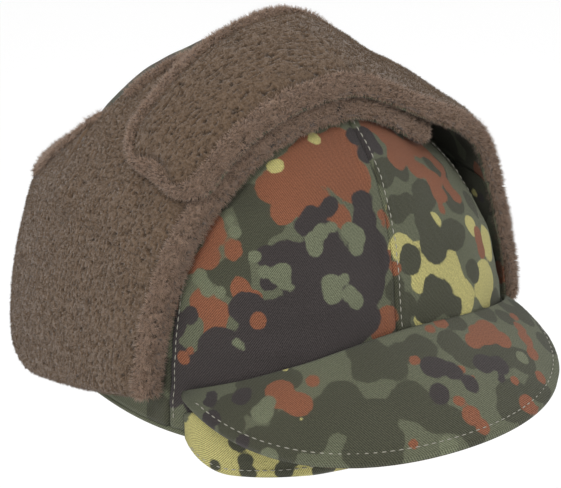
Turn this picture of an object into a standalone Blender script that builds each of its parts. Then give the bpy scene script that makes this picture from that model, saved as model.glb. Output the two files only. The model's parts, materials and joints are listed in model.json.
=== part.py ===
"""A padded winter cap in printed twill, with a stiffened visor and pile-lined flaps.

The crown is six panels over wadding and a lining. A band of ear and neck flaps is sewn round it and is
shown folded up: camouflage cloth towards the crown, brown pile outside. The right tab crosses over the
crown under the left tab. The band is cut into short lengths, each on its own fold line along the rim,
so that it can fold down round the curved head opening. Each ear flap and tab is a chain of lengths
that straightens as the band comes down.

Metres. The wearer faces -Y, +Z is up, and the origin is the centre of the head opening.
"""

import math

import bmesh
import bpy
from mathutils import Vector

MM = 0.001

# The crown: a superellipse in plan, an ellipse in elevation.
HALF_WIDTH = 88 * MM
HALF_LENGTH = 98 * MM
CROWN_HEIGHT = 131 * MM
PLAN_POWER = 2.6
PANEL_THICKNESS = 1.0 * MM
SIDE_SEAM_TURN = 60
BACK_SEAM_TURN = 120
SEAM_GAP = 0.4 * MM
TOP_LATITUDE = 82.5
RIM_HEM_HEIGHT = 2.5 * MM

# The soft crown has settled lower on the wearer's left.
SETTLING = 0.095
SETTLING_WIDTH = 96 * MM
SETTLING_HEIGHTS = (40 * MM, 110 * MM)

# Layers inside the crown, as distances from its outer surface.
WADDING = (-4.6 * MM, -2.0 * MM)
LINING = (-6.2 * MM, -5.3 * MM)
SWEATBAND = (-8.2 * MM, -7.1 * MM)
SWEATBAND_HEIGHT = 30 * MM

# The visor, sewn along an arched line on the front of the crown.
VISOR_TURN = 56.4
VISOR_ROOT_END_Z = 18.3 * MM
VISOR_ROOT_RISE = 20.3 * MM
VISOR_STANDOFF = 2.2 * MM
VISOR_PROJECTION_Y = -141 * MM
VISOR_FRONT_Z = 9.2 * MM
VISOR_CORNER = Vector((84.8, -117.1, 6.6)) * MM
VISOR_FRONT_HALF = 40.6 * MM
VISOR_BULGE = 3.0 * MM
VISOR_STIFFENER = 1.6 * MM
VISOR_COVER = 0.8 * MM
VISOR_LAYER_GAP = 0.4 * MM
VISOR_END_INSET = 0.035

# The short forehead flap below the visor.
FRONT_FLAP_BOTTOM_Z = -11.5 * MM
FRONT_FLAP_TURN = 55.5
FRONT_FLAP_DROP = 7.5 * MM
FRONT_FLAP_CORNER = 20 * MM
FRONT_FLAP_LINING = (1.0 * MM, 1.8 * MM)
FRONT_FLAP_SHELL = (2.2 * MM, 3.2 * MM)

# The flap band.
SHELL_THICKNESS = 0.8 * MM
LAYER_GAP = 0.3 * MM
PILE_THICKNESS = 7.0 * MM
TAB_PILE_THICKNESS = 5.2 * MM
STANDOFF = 2.4 * MM
CROSSING_STANDOFF = 10.0 * MM
BAND_FRONT_Y = -51 * MM
EAR_SPLIT_Y = -9 * MM
EAR_SPLIT_GAP = 2.0 * MM
FOLD_ROOM = 1.0 * MM
EAR_REAR_Y = 37 * MM
BAND_GAP = 0.8 * MM
BAND_BACK_BOTTOM_Z = -9 * MM
BAND_SLOPE = 0.3
BAND_SIDE_BOTTOM_Z = 2 * MM
EAR_LOWER_TOP_Z = 70 * MM
BACK_TOP_Z = 70 * MM
CORNER_TOP_Z = 102 * MM
CORNER_TURNS = (111.5, 131, 149)

# The tabs, as angles over the crown from each tab's own side.
TAB_FRONT_Y = -53 * MM
TAB_REAR_Y = -2 * MM
EAR_UPPER_REAR_Y = 31 * MM
EAR_UPPER_TAPER = 0.5 * MM
EAR_UPPER_START = 29
EAR_UPPER_END = 55
RIGHT_TAB_ENDS = (90, 123)
LEFT_TAB_ENDS = (88, 112, 136)
TAB_CORNER = 16 * MM
HOOK_TAPE_LAYER = (9.1 * MM, 9.7 * MM)
# How far the hook tape stays from the two ends of the left tab's last length, in degrees over the crown.
HOOK_TAPE_START = 2
HOOK_TAPE_END = 3

SKIN = {
    "camouflage twill": ((0.065, 0.075, 0.045), 0.9),
    "brown pile": ((0.115, 0.075, 0.058), 1.0),
    "wadding": ((0.62, 0.6, 0.55), 1.0),
    "quilted lining": ((0.08, 0.085, 0.05), 0.85),
    "sweatband cloth": ((0.11, 0.11, 0.07), 0.8),
    "visor board": ((0.05, 0.05, 0.05), 0.6),
    "hook tape": ((0.16, 0.15, 0.11), 0.75),
    "label cloth": ((0.6, 0.58, 0.52), 0.8),
}


def clear_scene():
    """Removes every object that the file starts with."""
    for thing in list(bpy.data.objects):
        bpy.data.objects.remove(thing)


def cloth(name):
    """The material of that name, made once."""
    found = bpy.data.materials.get(name)
    if found:
        return found
    colour, roughness = SKIN[name]
    made = bpy.data.materials.new(name)
    made.use_nodes = True
    shader = made.node_tree.nodes["Principled BSDF"]
    shader.inputs["Base Color"].default_value = (*colour, 1)
    shader.inputs["Roughness"].default_value = roughness
    shader.inputs["Metallic"].default_value = 0
    return made


def mix(a, b, share):
    """The value that share of the way from a to b."""
    return a + (b - a) * share


def smooth(value, start, end):
    """0 before start, 1 after end, and a smooth rise between them."""
    share = min(max((value - start) / (end - start), 0), 1)
    return share * share * (3 - 2 * share)


def plan(turn):
    """The unit plan outline at a turn in degrees: 0 is the front, 90 the wearer's left."""
    s = math.sin(math.radians(turn))
    c = math.cos(math.radians(turn))
    r = (abs(s) ** PLAN_POWER + abs(c) ** PLAN_POWER) ** (-1 / PLAN_POWER)
    return s * r, -c * r


def dome(turn, latitude, offset):
    """A point of the surface that distance outside the crown, by turn and latitude in degrees."""
    x, y = plan(turn)
    level = math.cos(math.radians(latitude))
    rise = math.sin(math.radians(latitude))
    return Vector(
        (
            (HALF_WIDTH + offset) * x * level,
            (HALF_LENGTH + offset) * y * level,
            (CROWN_HEIGHT + offset) * rise,
        )
    )


def narrowing(z, offset):
    """How much narrower the crown is at height z than at its rim; below the rim it goes straight down."""
    return math.sqrt(1 - (max(z, 0) / (CROWN_HEIGHT + offset)) ** 2)


def around(turn, z, offset):
    """A point of the surface that distance outside the crown, by turn and height."""
    x, y = plan(turn)
    k = narrowing(z, offset)
    return Vector(((HALF_WIDTH + offset) * x * k, (HALF_LENGTH + offset) * y * k, z))


def over(angle, y, offset):
    """A point of the arch over the crown at that y, by its angle from the wearer's right side."""
    share = abs(y / (HALF_LENGTH + offset)) ** PLAN_POWER
    reach = (HALF_WIDTH + offset) * (1 - share) ** (1 / PLAN_POWER)
    x = -reach * math.cos(math.radians(angle))
    level = (abs(x / (HALF_WIDTH + offset)) ** PLAN_POWER + share) ** (2 / PLAN_POWER)
    return Vector((x, y, (CROWN_HEIGHT + offset) * math.sqrt(max(1 - level, 0))))


def mirrored(point):
    """The same point on the other side of the head."""
    return Vector((-point.x, point.y, point.z))


def settle(point):
    """Where a point goes as the left of the crown and all that lies on it sinks."""
    across = min(max(point.x / SETTLING_WIDTH, 0), 1)
    share = math.sin(math.pi * across) ** 2 * smooth(point.z, *SETTLING_HEIGHTS)
    return Vector((point.x, point.y, point.z * (1 - SETTLING * share)))


def fold_line(front, rear, on_left):
    """The middle and the direction of a fold on the wearer's right, or of its twin on the left.

    Turning about the direction folds the cloth outwards.
    """
    if on_left:
        front, rear = settle(mirrored(rear)), settle(mirrored(front))
    return (front + rear) / 2, (front - rear).normalized()


def build(name, verts, faces, skin, origin=Vector((0, 0, 0))):
    """A named mesh object with its origin at a chosen point and its faces pointing out."""
    mesh = bpy.data.meshes.new(name)
    mesh.from_pydata([settle(v) - origin for v in verts], [], faces)
    work = bmesh.new()
    work.from_mesh(mesh)
    bmesh.ops.remove_doubles(work, verts=work.verts, dist=0.00001)
    bmesh.ops.recalc_face_normals(work, faces=work.faces)
    if work.calc_volume(signed=True) < 0:
        bmesh.ops.reverse_faces(work, faces=work.faces)
    work.to_mesh(mesh)
    work.free()
    mesh.shade_smooth()
    mesh.set_sharp_from_angle(angle=math.radians(40))
    mesh.materials.append(cloth(skin))
    made = bpy.data.objects.new(name, mesh)
    made.location = origin
    bpy.context.scene.collection.objects.link(made)
    return made


def sheet(name, place, layer, columns, rows, skin, origin=Vector((0, 0, 0)), ring=False):
    """A solid between two distances from a surface.

    place(u, v, offset) gives a point, with u and v from 0 to 1. A ring closes on itself along u.
    """
    inner, outer = layer
    across = columns if ring else columns + 1
    verts = []
    for offset in (inner, outer):
        for j in range(rows + 1):
            for i in range(across):
                verts.append(place(i / columns, j / rows, offset))
    size = across * (rows + 1)

    def at(i, j, side):
        return side * size + j * across + i % across

    faces = []
    for j in range(rows):
        for i in range(columns):
            for side in (0, 1):
                near = [at(i, j, side), at(i + 1, j, side)]
                far = [at(i + 1, j + 1, side), at(i, j + 1, side)]
                faces.append(near + far)
    for i in range(columns):
        for j in (0, rows):
            faces.append([at(i, j, 0), at(i + 1, j, 0), at(i + 1, j, 1), at(i, j, 1)])
    if not ring:
        for j in range(rows):
            for i in (0, columns):
                faces.append([at(i, j, 0), at(i, j + 1, 0), at(i, j + 1, 1), at(i, j, 1)])
    return build(name, verts, faces, skin, origin)


def rim_latitude(offset):
    """The latitude at which a layer clears the hem round the rim."""
    return math.degrees(math.asin((RIM_HEM_HEIGHT + SEAM_GAP) / (CROWN_HEIGHT + offset)))


def crown_panel(name, start, end):
    """One wedge of the crown's outer cloth between two seams."""

    def place(u, v, offset):
        latitude = mix(rim_latitude(offset), TOP_LATITUDE, v)
        margin = math.degrees(SEAM_GAP / 2 / (HALF_WIDTH * math.cos(math.radians(latitude))))
        return dome(mix(start + margin, end - margin, u), latitude, offset)

    return sheet(name, place, (-PANEL_THICKNESS, 0), 5, 9, "camouflage twill")


def crown_dome(name, layer, skin):
    """A whole inner layer of the crown, up to its pole."""

    def place(u, v, offset):
        return dome(360 * u, mix(rim_latitude(offset), 90, v), offset)

    return sheet(name, place, layer, 30, 8, skin, ring=True)


def top_patch():
    """The small round patch that closes the crown where its panels meet."""

    def place(u, v, offset):
        return dome(360 * u, mix(TOP_LATITUDE + 0.4, 90, v), offset)

    return sheet("crown_top_patch", place, (-PANEL_THICKNESS, 0), 18, 1, "camouflage twill", ring=True)


def ring_band(name, layer, low, high, skin):
    """A band all round the inside or the rim of the crown."""

    def place(u, v, offset):
        return around(360 * u, mix(low, high, v), offset)

    return sheet(name, place, layer, 30, 1, skin, ring=True)


def build_crown():
    """The crown's panels, its inner layers, its hem and its blank label."""
    seams = [-180, -BACK_SEAM_TURN, -SIDE_SEAM_TURN, 0, SIDE_SEAM_TURN, BACK_SEAM_TURN, 180]
    names = ["back_right", "side_right", "front_right", "front_left", "side_left", "back_left"]
    for name, start, end in zip(names, seams, seams[1:]):
        crown_panel("crown_" + name, start, end)
    top_patch()
    crown_dome("crown_wadding", WADDING, "wadding")
    crown_dome("crown_lining", LINING, "quilted lining")
    ring_band("rim_hem", (LINING[0], 0), 0, RIM_HEM_HEIGHT, "camouflage twill")
    ring_band("sweatband", SWEATBAND, RIM_HEM_HEIGHT, SWEATBAND_HEIGHT, "sweatband cloth")
    label_layer = (SWEATBAND[0] - 1.8 * MM, SWEATBAND[0] - 1.2 * MM)

    def place(u, v, offset):
        return around(mix(170, 190, u), mix(6 * MM, 26 * MM, v), offset)

    sheet("size_label", place, label_layer, 4, 1, "label cloth")


def visor_root_z(turn):
    """The arched line on which the visor is sewn."""
    return VISOR_ROOT_END_Z + VISOR_ROOT_RISE * (1 - (turn / VISOR_TURN) ** 2)


def visor_edge(share):
    """The visor's outer edge, from -1 at the wearer's right end to 1 at the left end."""
    t = 1 - abs(share)
    end = around(VISOR_TURN, VISOR_ROOT_END_Z, VISOR_STANDOFF)
    front = Vector((0, VISOR_PROJECTION_Y, VISOR_FRONT_Z))
    before_front = Vector((VISOR_FRONT_HALF, VISOR_PROJECTION_Y, VISOR_FRONT_Z))
    point = (
        end * (1 - t) ** 3
        + VISOR_CORNER * (3 * (1 - t) ** 2 * t)
        + before_front * (3 * (1 - t) * t * t)
        + front * t**3
    )
    return point if share > 0 else mirrored(point)


def visor_middle(u, v):
    """The visor's middle surface: u runs across it, v from the crown to the outer edge."""
    share = mix(-1 + VISOR_END_INSET, 1 - VISOR_END_INSET, u)
    turn = share * VISOR_TURN
    root = around(turn, visor_root_z(turn), VISOR_STANDOFF)
    point = root.lerp(visor_edge(share), v)
    point.z += VISOR_BULGE * math.sin(math.pi * v) * (1 - share**4)
    return point


def visor_layer(name, layer, reach, skin):
    """One layer of the visor, at a distance from its middle surface; reach is where it ends on v."""
    step = 0.02

    def place(u, v, offset):
        w = v * reach
        across = visor_middle(min(u + step, 1), w) - visor_middle(max(u - step, 0), w)
        along = visor_middle(u, min(w + step, 1)) - visor_middle(u, max(w - step, 0))
        up = along.cross(across).normalized()
        if up.z < 0:
            up = -up
        return visor_middle(u, w) + up * offset

    return sheet(name, place, layer, 20, 4, skin)


def build_visor():
    """The visor: a stiffener between two covers."""
    half = VISOR_STIFFENER / 2
    cover = (half + VISOR_LAYER_GAP, half + VISOR_LAYER_GAP + VISOR_COVER)
    visor_layer("visor_stiffener", (-half, half), 0.95, "visor board")
    visor_layer("visor_top_cover", cover, 1, "camouflage twill")
    visor_layer("visor_under_cover", (-cover[1], -cover[0]), 1, "camouflage twill")


def front_flap_layer(name, layer):
    """One layer of the forehead flap, with rounded lower corners."""

    def place(u, v, offset):
        share = 2 * u - 1
        turn = share * FRONT_FLAP_TURN
        top = visor_root_z(turn) - FRONT_FLAP_DROP
        from_end = (1 - abs(share)) * math.radians(FRONT_FLAP_TURN) * HALF_LENGTH
        inside = max(FRONT_FLAP_CORNER - from_end, 0)
        cut = FRONT_FLAP_CORNER - math.sqrt(FRONT_FLAP_CORNER**2 - inside**2)
        return around(turn, mix(FRONT_FLAP_BOTTOM_Z + cut, top, v), offset)

    return sheet(name, place, layer, 20, 3, "camouflage twill")


def build_front_flap():
    """The forehead flap's shell and its facing."""
    front_flap_layer("front_flap_shell", FRONT_FLAP_SHELL)
    front_flap_layer("front_flap_lining", FRONT_FLAP_LINING)


def band_bottom(y):
    """The height of the band's lower fold, which rises towards the temples."""
    return max(BAND_SIDE_BOTTOM_Z - BAND_SLOPE * y, BAND_BACK_BOTTOM_Z)


def band_layers(pile_thickness):
    """The shell's and the pile's distances from the crown."""
    pile = STANDOFF + SHELL_THICKNESS + LAYER_GAP
    return {"shell": (STANDOFF, STANDOFF + SHELL_THICKNESS), "pile": (pile, pile + pile_thickness)}


def lift_of_left(angle):
    """How much further out the left ear flap and tab stand, to pass over the right tab."""
    return (CROSSING_STANDOFF - STANDOFF) * smooth(angle, 20, 52)


def reach_out(start, outward, z, offset):
    """From a point inside the crown's outline, the point along outward on the offset surface."""
    level = narrowing(z, offset) ** PLAN_POWER
    near = 0.0
    far = 2 * HALF_LENGTH
    for _ in range(40):
        middle = (near + far) / 2
        x = start.x + outward.x * middle
        y = start.y + outward.y * middle
        sum_of_powers = (
            abs(x / (HALF_WIDTH + offset)) ** PLAN_POWER
            + abs(y / (HALF_LENGTH + offset)) ** PLAN_POWER
        )
        if sum_of_powers < level:
            near = middle
        else:
            far = middle
    return Vector((start.x + outward.x * near, start.y + outward.y * near, z))


def hinge_offset(pile_thickness):
    """The fold line runs through the middle of the band's thickness."""
    return STANDOFF + (SHELL_THICKNESS + LAYER_GAP + pile_thickness) / 2


def ear_lower_spans():
    """The y range of each lower length of the ear flap."""
    return {
        "ear_flap_{}_front": (BAND_FRONT_Y, EAR_SPLIT_Y - EAR_SPLIT_GAP / 2),
        "ear_flap_{}_rear": (EAR_SPLIT_Y + EAR_SPLIT_GAP / 2, EAR_REAR_Y),
    }


def ear_lower_place(span, on_left):
    """place() for a lower length of the ear flap, which runs from the fold up to the ear's bend."""

    def place(u, v, offset):
        z = mix(band_bottom(mix(span[0], span[1], u)), EAR_LOWER_TOP_Z - BAND_GAP / 2, v)
        last = span[1] * narrowing(z, STANDOFF) if span[1] > 0 else span[1]
        y = mix(span[0], last, u)
        lift = 0
        if on_left:
            lift = lift_of_left(math.degrees(math.asin(max(z, 0) / CROWN_HEIGHT)))
        point = reach_out(Vector((0, y, 0)), Vector((-1, 0, 0)), z, offset + lift)
        return mirrored(point) if on_left else point

    return place


def side_hinge(span, on_left):
    """The fold line of a lower length of the ear flap: a point and a direction that folds it outwards."""
    reach = hinge_offset(PILE_THICKNESS) + FOLD_ROOM
    ends = []
    for y in span:
        ends.append(reach_out(Vector((0, y, 0)), Vector((-1, 0, 0)), band_bottom(y), reach))
    return fold_line(*ends, on_left)


def back_turns():
    """The turns that bound each length of the band behind the ears, on the wearer's right."""
    bounds = [*CORNER_TURNS, 180]
    names = ["corner_flap_{}_front", "corner_flap_{}_rear", "neck_flap_{}"]
    return {name: (-a, -b) for name, a, b in zip(names, bounds, bounds[1:])}


def back_frame(turns):
    """The chord of a back length at the fold: its middle, its direction and its outward direction."""
    start = around(turns[0], BAND_BACK_BOTTOM_Z, STANDOFF)
    end = around(turns[1], BAND_BACK_BOTTOM_Z, STANDOFF)
    along = (end - start).normalized()
    outward = Vector((-along.y, along.x, 0))
    if outward.dot(start + end) < 0:
        outward = -outward
    return (start + end) / 2, along, outward


def back_top(turn):
    """The height of the band's upper edge behind the ears."""
    share = (abs(turn) - CORNER_TURNS[0]) / (CORNER_TURNS[1] - CORNER_TURNS[0])
    return mix(CORNER_TOP_Z, BACK_TOP_Z, min(share, 1))


def back_place(turns, on_left):
    """place() for a length of the band behind the ear, with side walls square to its own fold."""
    middle, along, outward = back_frame(turns)

    def edge(turn, z):
        return (around(turn, z, STANDOFF) - middle).dot(along)

    def place(u, v, offset):
        z = mix(BAND_BACK_BOTTOM_Z, back_top(mix(turns[0], turns[1], u)), v)
        first = edge(turns[0], z) + BAND_GAP / 2
        last = edge(turns[1], z) - BAND_GAP / 2
        start = middle + along * mix(first, last, u) - outward * (HALF_WIDTH / 3)
        point = reach_out(start, outward, z, offset)
        return mirrored(point) if on_left else point

    return place


def back_hinge(turns, on_left):
    """The fold line of a length behind the ear: a point and a direction that folds it outwards."""
    middle, along, outward = back_frame(turns)
    inside = middle - outward * (HALF_WIDTH / 3)
    reach = hinge_offset(PILE_THICKNESS) + FOLD_ROOM
    point = reach_out(inside, outward, BAND_BACK_BOTTOM_Z, reach)
    half = along * (HALF_WIDTH / 3)
    return fold_line(point - half, point + half, on_left)


def tab_rear_y(angle):
    """The rear edge of the ear flap's upper part and of the tab that it runs into."""
    shoulder = EAR_UPPER_REAR_Y - EAR_UPPER_TAPER * (angle - EAR_UPPER_START)
    return mix(shoulder, TAB_REAR_Y, smooth(angle, EAR_UPPER_END - 5, 80))


def tab_front_y(angle):
    """The front edge, which leans a little further forward over the crown than beside it."""
    return mix(BAND_FRONT_Y, TAB_FRONT_Y, smooth(angle, 32, 62))


def ear_upper_start(y, offset):
    """The angle over the crown at which the upper part of the ear flap starts."""
    side = reach_out(Vector((0, y, 0)), Vector((-1, 0, 0)), EAR_LOWER_TOP_Z + BAND_GAP / 2, offset)
    share = abs(y / (HALF_LENGTH + offset)) ** PLAN_POWER
    reach = (HALF_WIDTH + offset) * (1 - share) ** (1 / PLAN_POWER)
    return math.degrees(math.acos(-side.x / reach))


def tab_place(start, end, on_left, rounded):
    """place() for a length of tab between two angles over the crown; start None means the ear's bend."""
    gap = math.degrees(BAND_GAP / 2 / CROWN_HEIGHT)

    def place(u, v, offset):
        last = end if rounded else end - gap
        rough = mix(start or EAR_UPPER_START, last, v)
        front = tab_front_y(rough)
        rear = tab_rear_y(rough)
        if rounded:
            from_end = math.radians(end - rough) * CROWN_HEIGHT
            inside = max(TAB_CORNER - from_end, 0)
            cut = TAB_CORNER - math.sqrt(TAB_CORNER**2 - inside**2)
            front += cut
            rear -= cut
        y = mix(front, rear, u)
        lift = lift_of_left(rough) if on_left else 0
        first = start + gap if start else ear_upper_start(y, offset + lift)
        point = over(mix(first, last, v), y, offset + lift)
        return mirrored(point) if on_left else point

    return place


def tab_hinge(angle, on_left):
    """The bend across an ear flap or tab at an angle: a point and a direction that lifts it outwards."""
    reach = hinge_offset(TAB_PILE_THICKNESS) + (lift_of_left(angle) if on_left else 0)
    front = over(angle, tab_front_y(angle), reach)
    rear = over(angle, tab_rear_y(angle), reach)
    return fold_line(front, rear, on_left)


def ear_upper_hinge(on_left):
    """The bend at the top of the lower ear flap."""
    reach = hinge_offset(PILE_THICKNESS)
    if on_left:
        reach += lift_of_left(math.degrees(math.asin(EAR_LOWER_TOP_Z / CROWN_HEIGHT)))
    ends = []
    for y in (BAND_FRONT_Y, EAR_UPPER_REAR_Y):
        inside = Vector((0, y, 0))
        ends.append(reach_out(inside, Vector((-1, 0, 0)), EAR_LOWER_TOP_Z, reach))
    return fold_line(*ends, on_left)


def band_bodies():
    """Every moving length of the band: name, place(), fold line, and its grid's columns and rows."""
    found = []
    for side, on_left in (("right", False), ("left", True)):
        for name, span in ear_lower_spans().items():
            place = ear_lower_place(span, on_left)
            found.append((name.format(side), place, side_hinge(span, on_left), (4, 5)))
        for name, turns in back_turns().items():
            place = back_place(turns, on_left)
            found.append((name.format(side), place, back_hinge(turns, on_left), (3, 5)))
        upper = tab_place(None, EAR_UPPER_END, on_left, False)
        found.append((f"ear_flap_{side}_upper", upper, ear_upper_hinge(on_left), (7, 3)))
        start = EAR_UPPER_END
        ends = LEFT_TAB_ENDS if on_left else RIGHT_TAB_ENDS
        for number, end in enumerate(ends, 1):
            last = number == len(ends)
            place = tab_place(start, end, on_left, last)
            name = f"tab_{side}_end" if last else f"tab_{side}_{number}"
            found.append((name, place, tab_hinge(start, on_left), (5, 6 if last else 4)))
            start = end
    return found


def axis_empty(name, point):
    """An empty on a body's fold line, to which the body's pieces are parented."""
    holder = bpy.data.objects.new("axis_" + name, None)
    holder.location = point
    holder.empty_display_size = 0.01
    bpy.context.scene.collection.objects.link(holder)
    return holder


def build_band():
    """The shell and the pile of every length of the band."""
    for name, place, hinge, grid in band_bodies():
        holder = axis_empty(name, hinge[0])
        crosses_top = name.startswith("tab") or name.endswith("upper")
        pile_thickness = TAB_PILE_THICKNESS if crosses_top else PILE_THICKNESS
        for part, layer in band_layers(pile_thickness).items():
            skin = "brown pile" if part == "pile" else "camouflage twill"
            piece = sheet(f"{name}_{part}", place, layer, *grid, skin, origin=hinge[0])
            piece.parent = holder
            piece.location = (0, 0, 0)


def build_hook_tape():
    """The strip of hook tape under the end of the left tab."""
    hinge = tab_hinge(LEFT_TAB_ENDS[-2], True)

    def place(u, v, offset):
        angle = mix(LEFT_TAB_ENDS[-2] + HOOK_TAPE_START, LEFT_TAB_ENDS[-1] - HOOK_TAPE_END, v)
        y = mix(TAB_FRONT_Y + TAB_CORNER, TAB_REAR_Y - TAB_CORNER, u)
        return mirrored(over(angle, y, offset))

    tape = sheet("hook_tape", place, HOOK_TAPE_LAYER, 3, 4, "hook tape", origin=hinge[0])
    tape.parent = bpy.data.objects["axis_tab_left_end"]
    tape.location = (0, 0, 0)


def main():
    """Builds the whole cap."""
    clear_scene()
    build_crown()
    build_visor()
    build_front_flap()
    build_band()
    build_hook_tape()


main()
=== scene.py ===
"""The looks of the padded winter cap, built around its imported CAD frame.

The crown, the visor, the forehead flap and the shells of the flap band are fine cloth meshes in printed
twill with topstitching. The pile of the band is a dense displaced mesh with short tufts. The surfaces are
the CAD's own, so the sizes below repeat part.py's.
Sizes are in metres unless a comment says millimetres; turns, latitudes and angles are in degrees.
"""

import json
import math

import bpy
import numpy as np
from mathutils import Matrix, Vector, noise

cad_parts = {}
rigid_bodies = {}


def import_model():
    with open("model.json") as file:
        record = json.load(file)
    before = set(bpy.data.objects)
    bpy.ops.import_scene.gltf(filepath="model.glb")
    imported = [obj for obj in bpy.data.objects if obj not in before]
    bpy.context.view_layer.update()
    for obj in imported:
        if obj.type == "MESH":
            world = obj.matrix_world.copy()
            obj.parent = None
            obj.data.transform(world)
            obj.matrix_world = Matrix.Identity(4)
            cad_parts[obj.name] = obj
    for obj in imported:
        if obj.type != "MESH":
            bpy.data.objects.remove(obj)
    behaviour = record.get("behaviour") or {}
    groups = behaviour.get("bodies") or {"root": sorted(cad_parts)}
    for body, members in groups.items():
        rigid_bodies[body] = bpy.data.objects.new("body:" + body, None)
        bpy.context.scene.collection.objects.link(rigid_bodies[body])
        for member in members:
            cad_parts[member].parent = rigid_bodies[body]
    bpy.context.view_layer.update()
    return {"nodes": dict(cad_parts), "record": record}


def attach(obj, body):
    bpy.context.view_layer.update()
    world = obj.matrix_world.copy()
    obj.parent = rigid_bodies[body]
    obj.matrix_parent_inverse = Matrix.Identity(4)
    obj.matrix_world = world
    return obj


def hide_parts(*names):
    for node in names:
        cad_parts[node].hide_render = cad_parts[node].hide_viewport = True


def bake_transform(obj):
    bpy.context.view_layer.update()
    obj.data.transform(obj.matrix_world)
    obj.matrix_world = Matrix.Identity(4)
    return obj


MM = 0.001
TINY = 1e-9
NO_AREA = 1e-12
FAR = 1.0

# The crown and its layers, as in the CAD.
HALF_WIDTH = 88 * MM
HALF_LENGTH = 98 * MM
CROWN_HEIGHT = 131 * MM
PLAN_POWER = 2.6
SIDE_SEAM_TURN = 60
BACK_SEAM_TURN = 120
TOP_LATITUDE = 82.5
SETTLING = 0.095
SETTLING_WIDTH = 96 * MM
SETTLING_HEIGHTS = (40 * MM, 110 * MM)

# The visor and the forehead flap, as in the CAD.
VISOR_TURN = 56.4
VISOR_ROOT_END_Z = 18.3 * MM
VISOR_ROOT_RISE = 20.3 * MM
VISOR_STANDOFF = 2.2 * MM
VISOR_PROJECTION_Y = -141 * MM
VISOR_FRONT_Z = 9.2 * MM
VISOR_CORNER = np.array((84.8, -117.1, 6.6)) * MM
VISOR_FRONT_HALF = 40.6 * MM
VISOR_BULGE = 3.0 * MM
FRONT_FLAP_BOTTOM_Z = -11.5 * MM
FRONT_FLAP_TURN = 55.5
FRONT_FLAP_DROP = 7.5 * MM
FRONT_FLAP_CORNER = 20 * MM

# The flap band, as in the CAD.
STANDOFF = 2.4 * MM
SHELL_THICKNESS = 0.8 * MM
LAYER_GAP = 0.3 * MM
PILE_THICKNESS = 7.0 * MM
TAB_PILE_THICKNESS = 5.2 * MM
CROSSING_STANDOFF = 10.0 * MM
BAND_FRONT_Y = -51 * MM
EAR_SPLIT_Y = -9 * MM
BAND_BACK_BOTTOM_Z = -9 * MM
BAND_SLOPE = 0.3
BAND_SIDE_BOTTOM_Z = 2 * MM
EAR_LOWER_TOP_Z = 70 * MM
BACK_TOP_Z = 70 * MM
CORNER_TOP_Z = 106 * MM
CORNER_TURNS = (111.5, 131, 149)
TAB_FRONT_Y = -53 * MM
TAB_REAR_Y = -2 * MM
EAR_UPPER_END = 55
RIGHT_TAB_ENDS = (90, 123)
LEFT_TAB_ENDS = (88, 112, 136)
TAB_CORNER = 16 * MM

# How finely the cloth and the pile are cut.
CLOTH_STEP = 1.3 * MM
PILE_STEP = 0.45 * MM
SHELL_STEP = 2.0 * MM
TUFTS_PER_MM2 = 3.6
ROLL_RADIUS = 3.2 * MM
BARE_ROLL_RADIUS = 5.0 * MM
BARE_EDGE_THINNESS = 0.6
ROLL_WIDTH = 7.0 * MM


def smooth(value, start, end):
    """0 before start, 1 after end, and a smooth rise between them."""
    share = np.clip((value - start) / (end - start), 0, 1)
    return share * share * (3 - 2 * share)


def mix(a, b, share):
    """The value that share of the way from a to b."""
    return a + (b - a) * share


def rounded(distance, radius):
    """A quarter-round edge: 0 at the edge itself, 1 from the radius inwards."""
    return np.sqrt(np.clip(1 - (1 - np.clip(distance / radius, 0, 1)) ** 2, 0, 1))


def groove_at(distance, middle, width):
    """How deep in a groove a point lies: 1 in the groove's middle, fading to 0 over that width."""
    return np.exp(-(((distance - middle) / width) ** 2))


# Surfaces. Each takes arrays and returns an array of points with x, y and z last.


def plan(turn):
    """The unit plan outline at a turn in degrees: 0 is the front, 90 the wearer's left."""
    s = np.sin(np.radians(turn))
    c = np.cos(np.radians(turn))
    r = (np.abs(s) ** PLAN_POWER + np.abs(c) ** PLAN_POWER) ** (-1 / PLAN_POWER)
    return s * r, -c * r


def narrowing(z, offset):
    """How much narrower the crown is at height z than at its rim."""
    return np.sqrt(np.maximum(1 - (np.maximum(z, 0) / (CROWN_HEIGHT + offset)) ** 2, 0))


def dome(turn, latitude, offset):
    """The surface that distance outside the crown, by turn and latitude in degrees."""
    x, y = plan(turn)
    level = np.cos(np.radians(latitude))
    rise = np.sin(np.radians(latitude))
    across = (HALF_WIDTH + offset) * x * level
    along = (HALF_LENGTH + offset) * y * level
    return np.stack([across, along, (CROWN_HEIGHT + offset) * rise], axis=-1)


def around(turn, z, offset):
    """The same surface, by turn and height."""
    x, y = plan(turn)
    k = narrowing(z, offset)
    flat = [(HALF_WIDTH + offset) * x * k, (HALF_LENGTH + offset) * y * k, z + 0 * k]
    return np.stack(np.broadcast_arrays(*flat), axis=-1)


def beside(y, z, offset):
    """The same surface on the wearer's right, by y and height."""
    k = narrowing(z, offset) ** PLAN_POWER
    share = np.abs(y / (HALF_LENGTH + offset)) ** PLAN_POWER
    x = -(HALF_WIDTH + offset) * np.maximum(k - share, 0) ** (1 / PLAN_POWER)
    return np.stack(np.broadcast_arrays(x, y, z), axis=-1)


def over(angle, y, offset):
    """The arch over the crown at that y, by its angle from the wearer's right side."""
    share = np.abs(y / (HALF_LENGTH + offset)) ** PLAN_POWER
    reach = (HALF_WIDTH + offset) * (1 - share) ** (1 / PLAN_POWER)
    x = -reach * np.cos(np.radians(angle))
    level = (np.abs(x / (HALF_WIDTH + offset)) ** PLAN_POWER + share) ** (2 / PLAN_POWER)
    z = (CROWN_HEIGHT + offset) * np.sqrt(np.maximum(1 - level, 0))
    return np.stack(np.broadcast_arrays(x, y, z), axis=-1)


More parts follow.
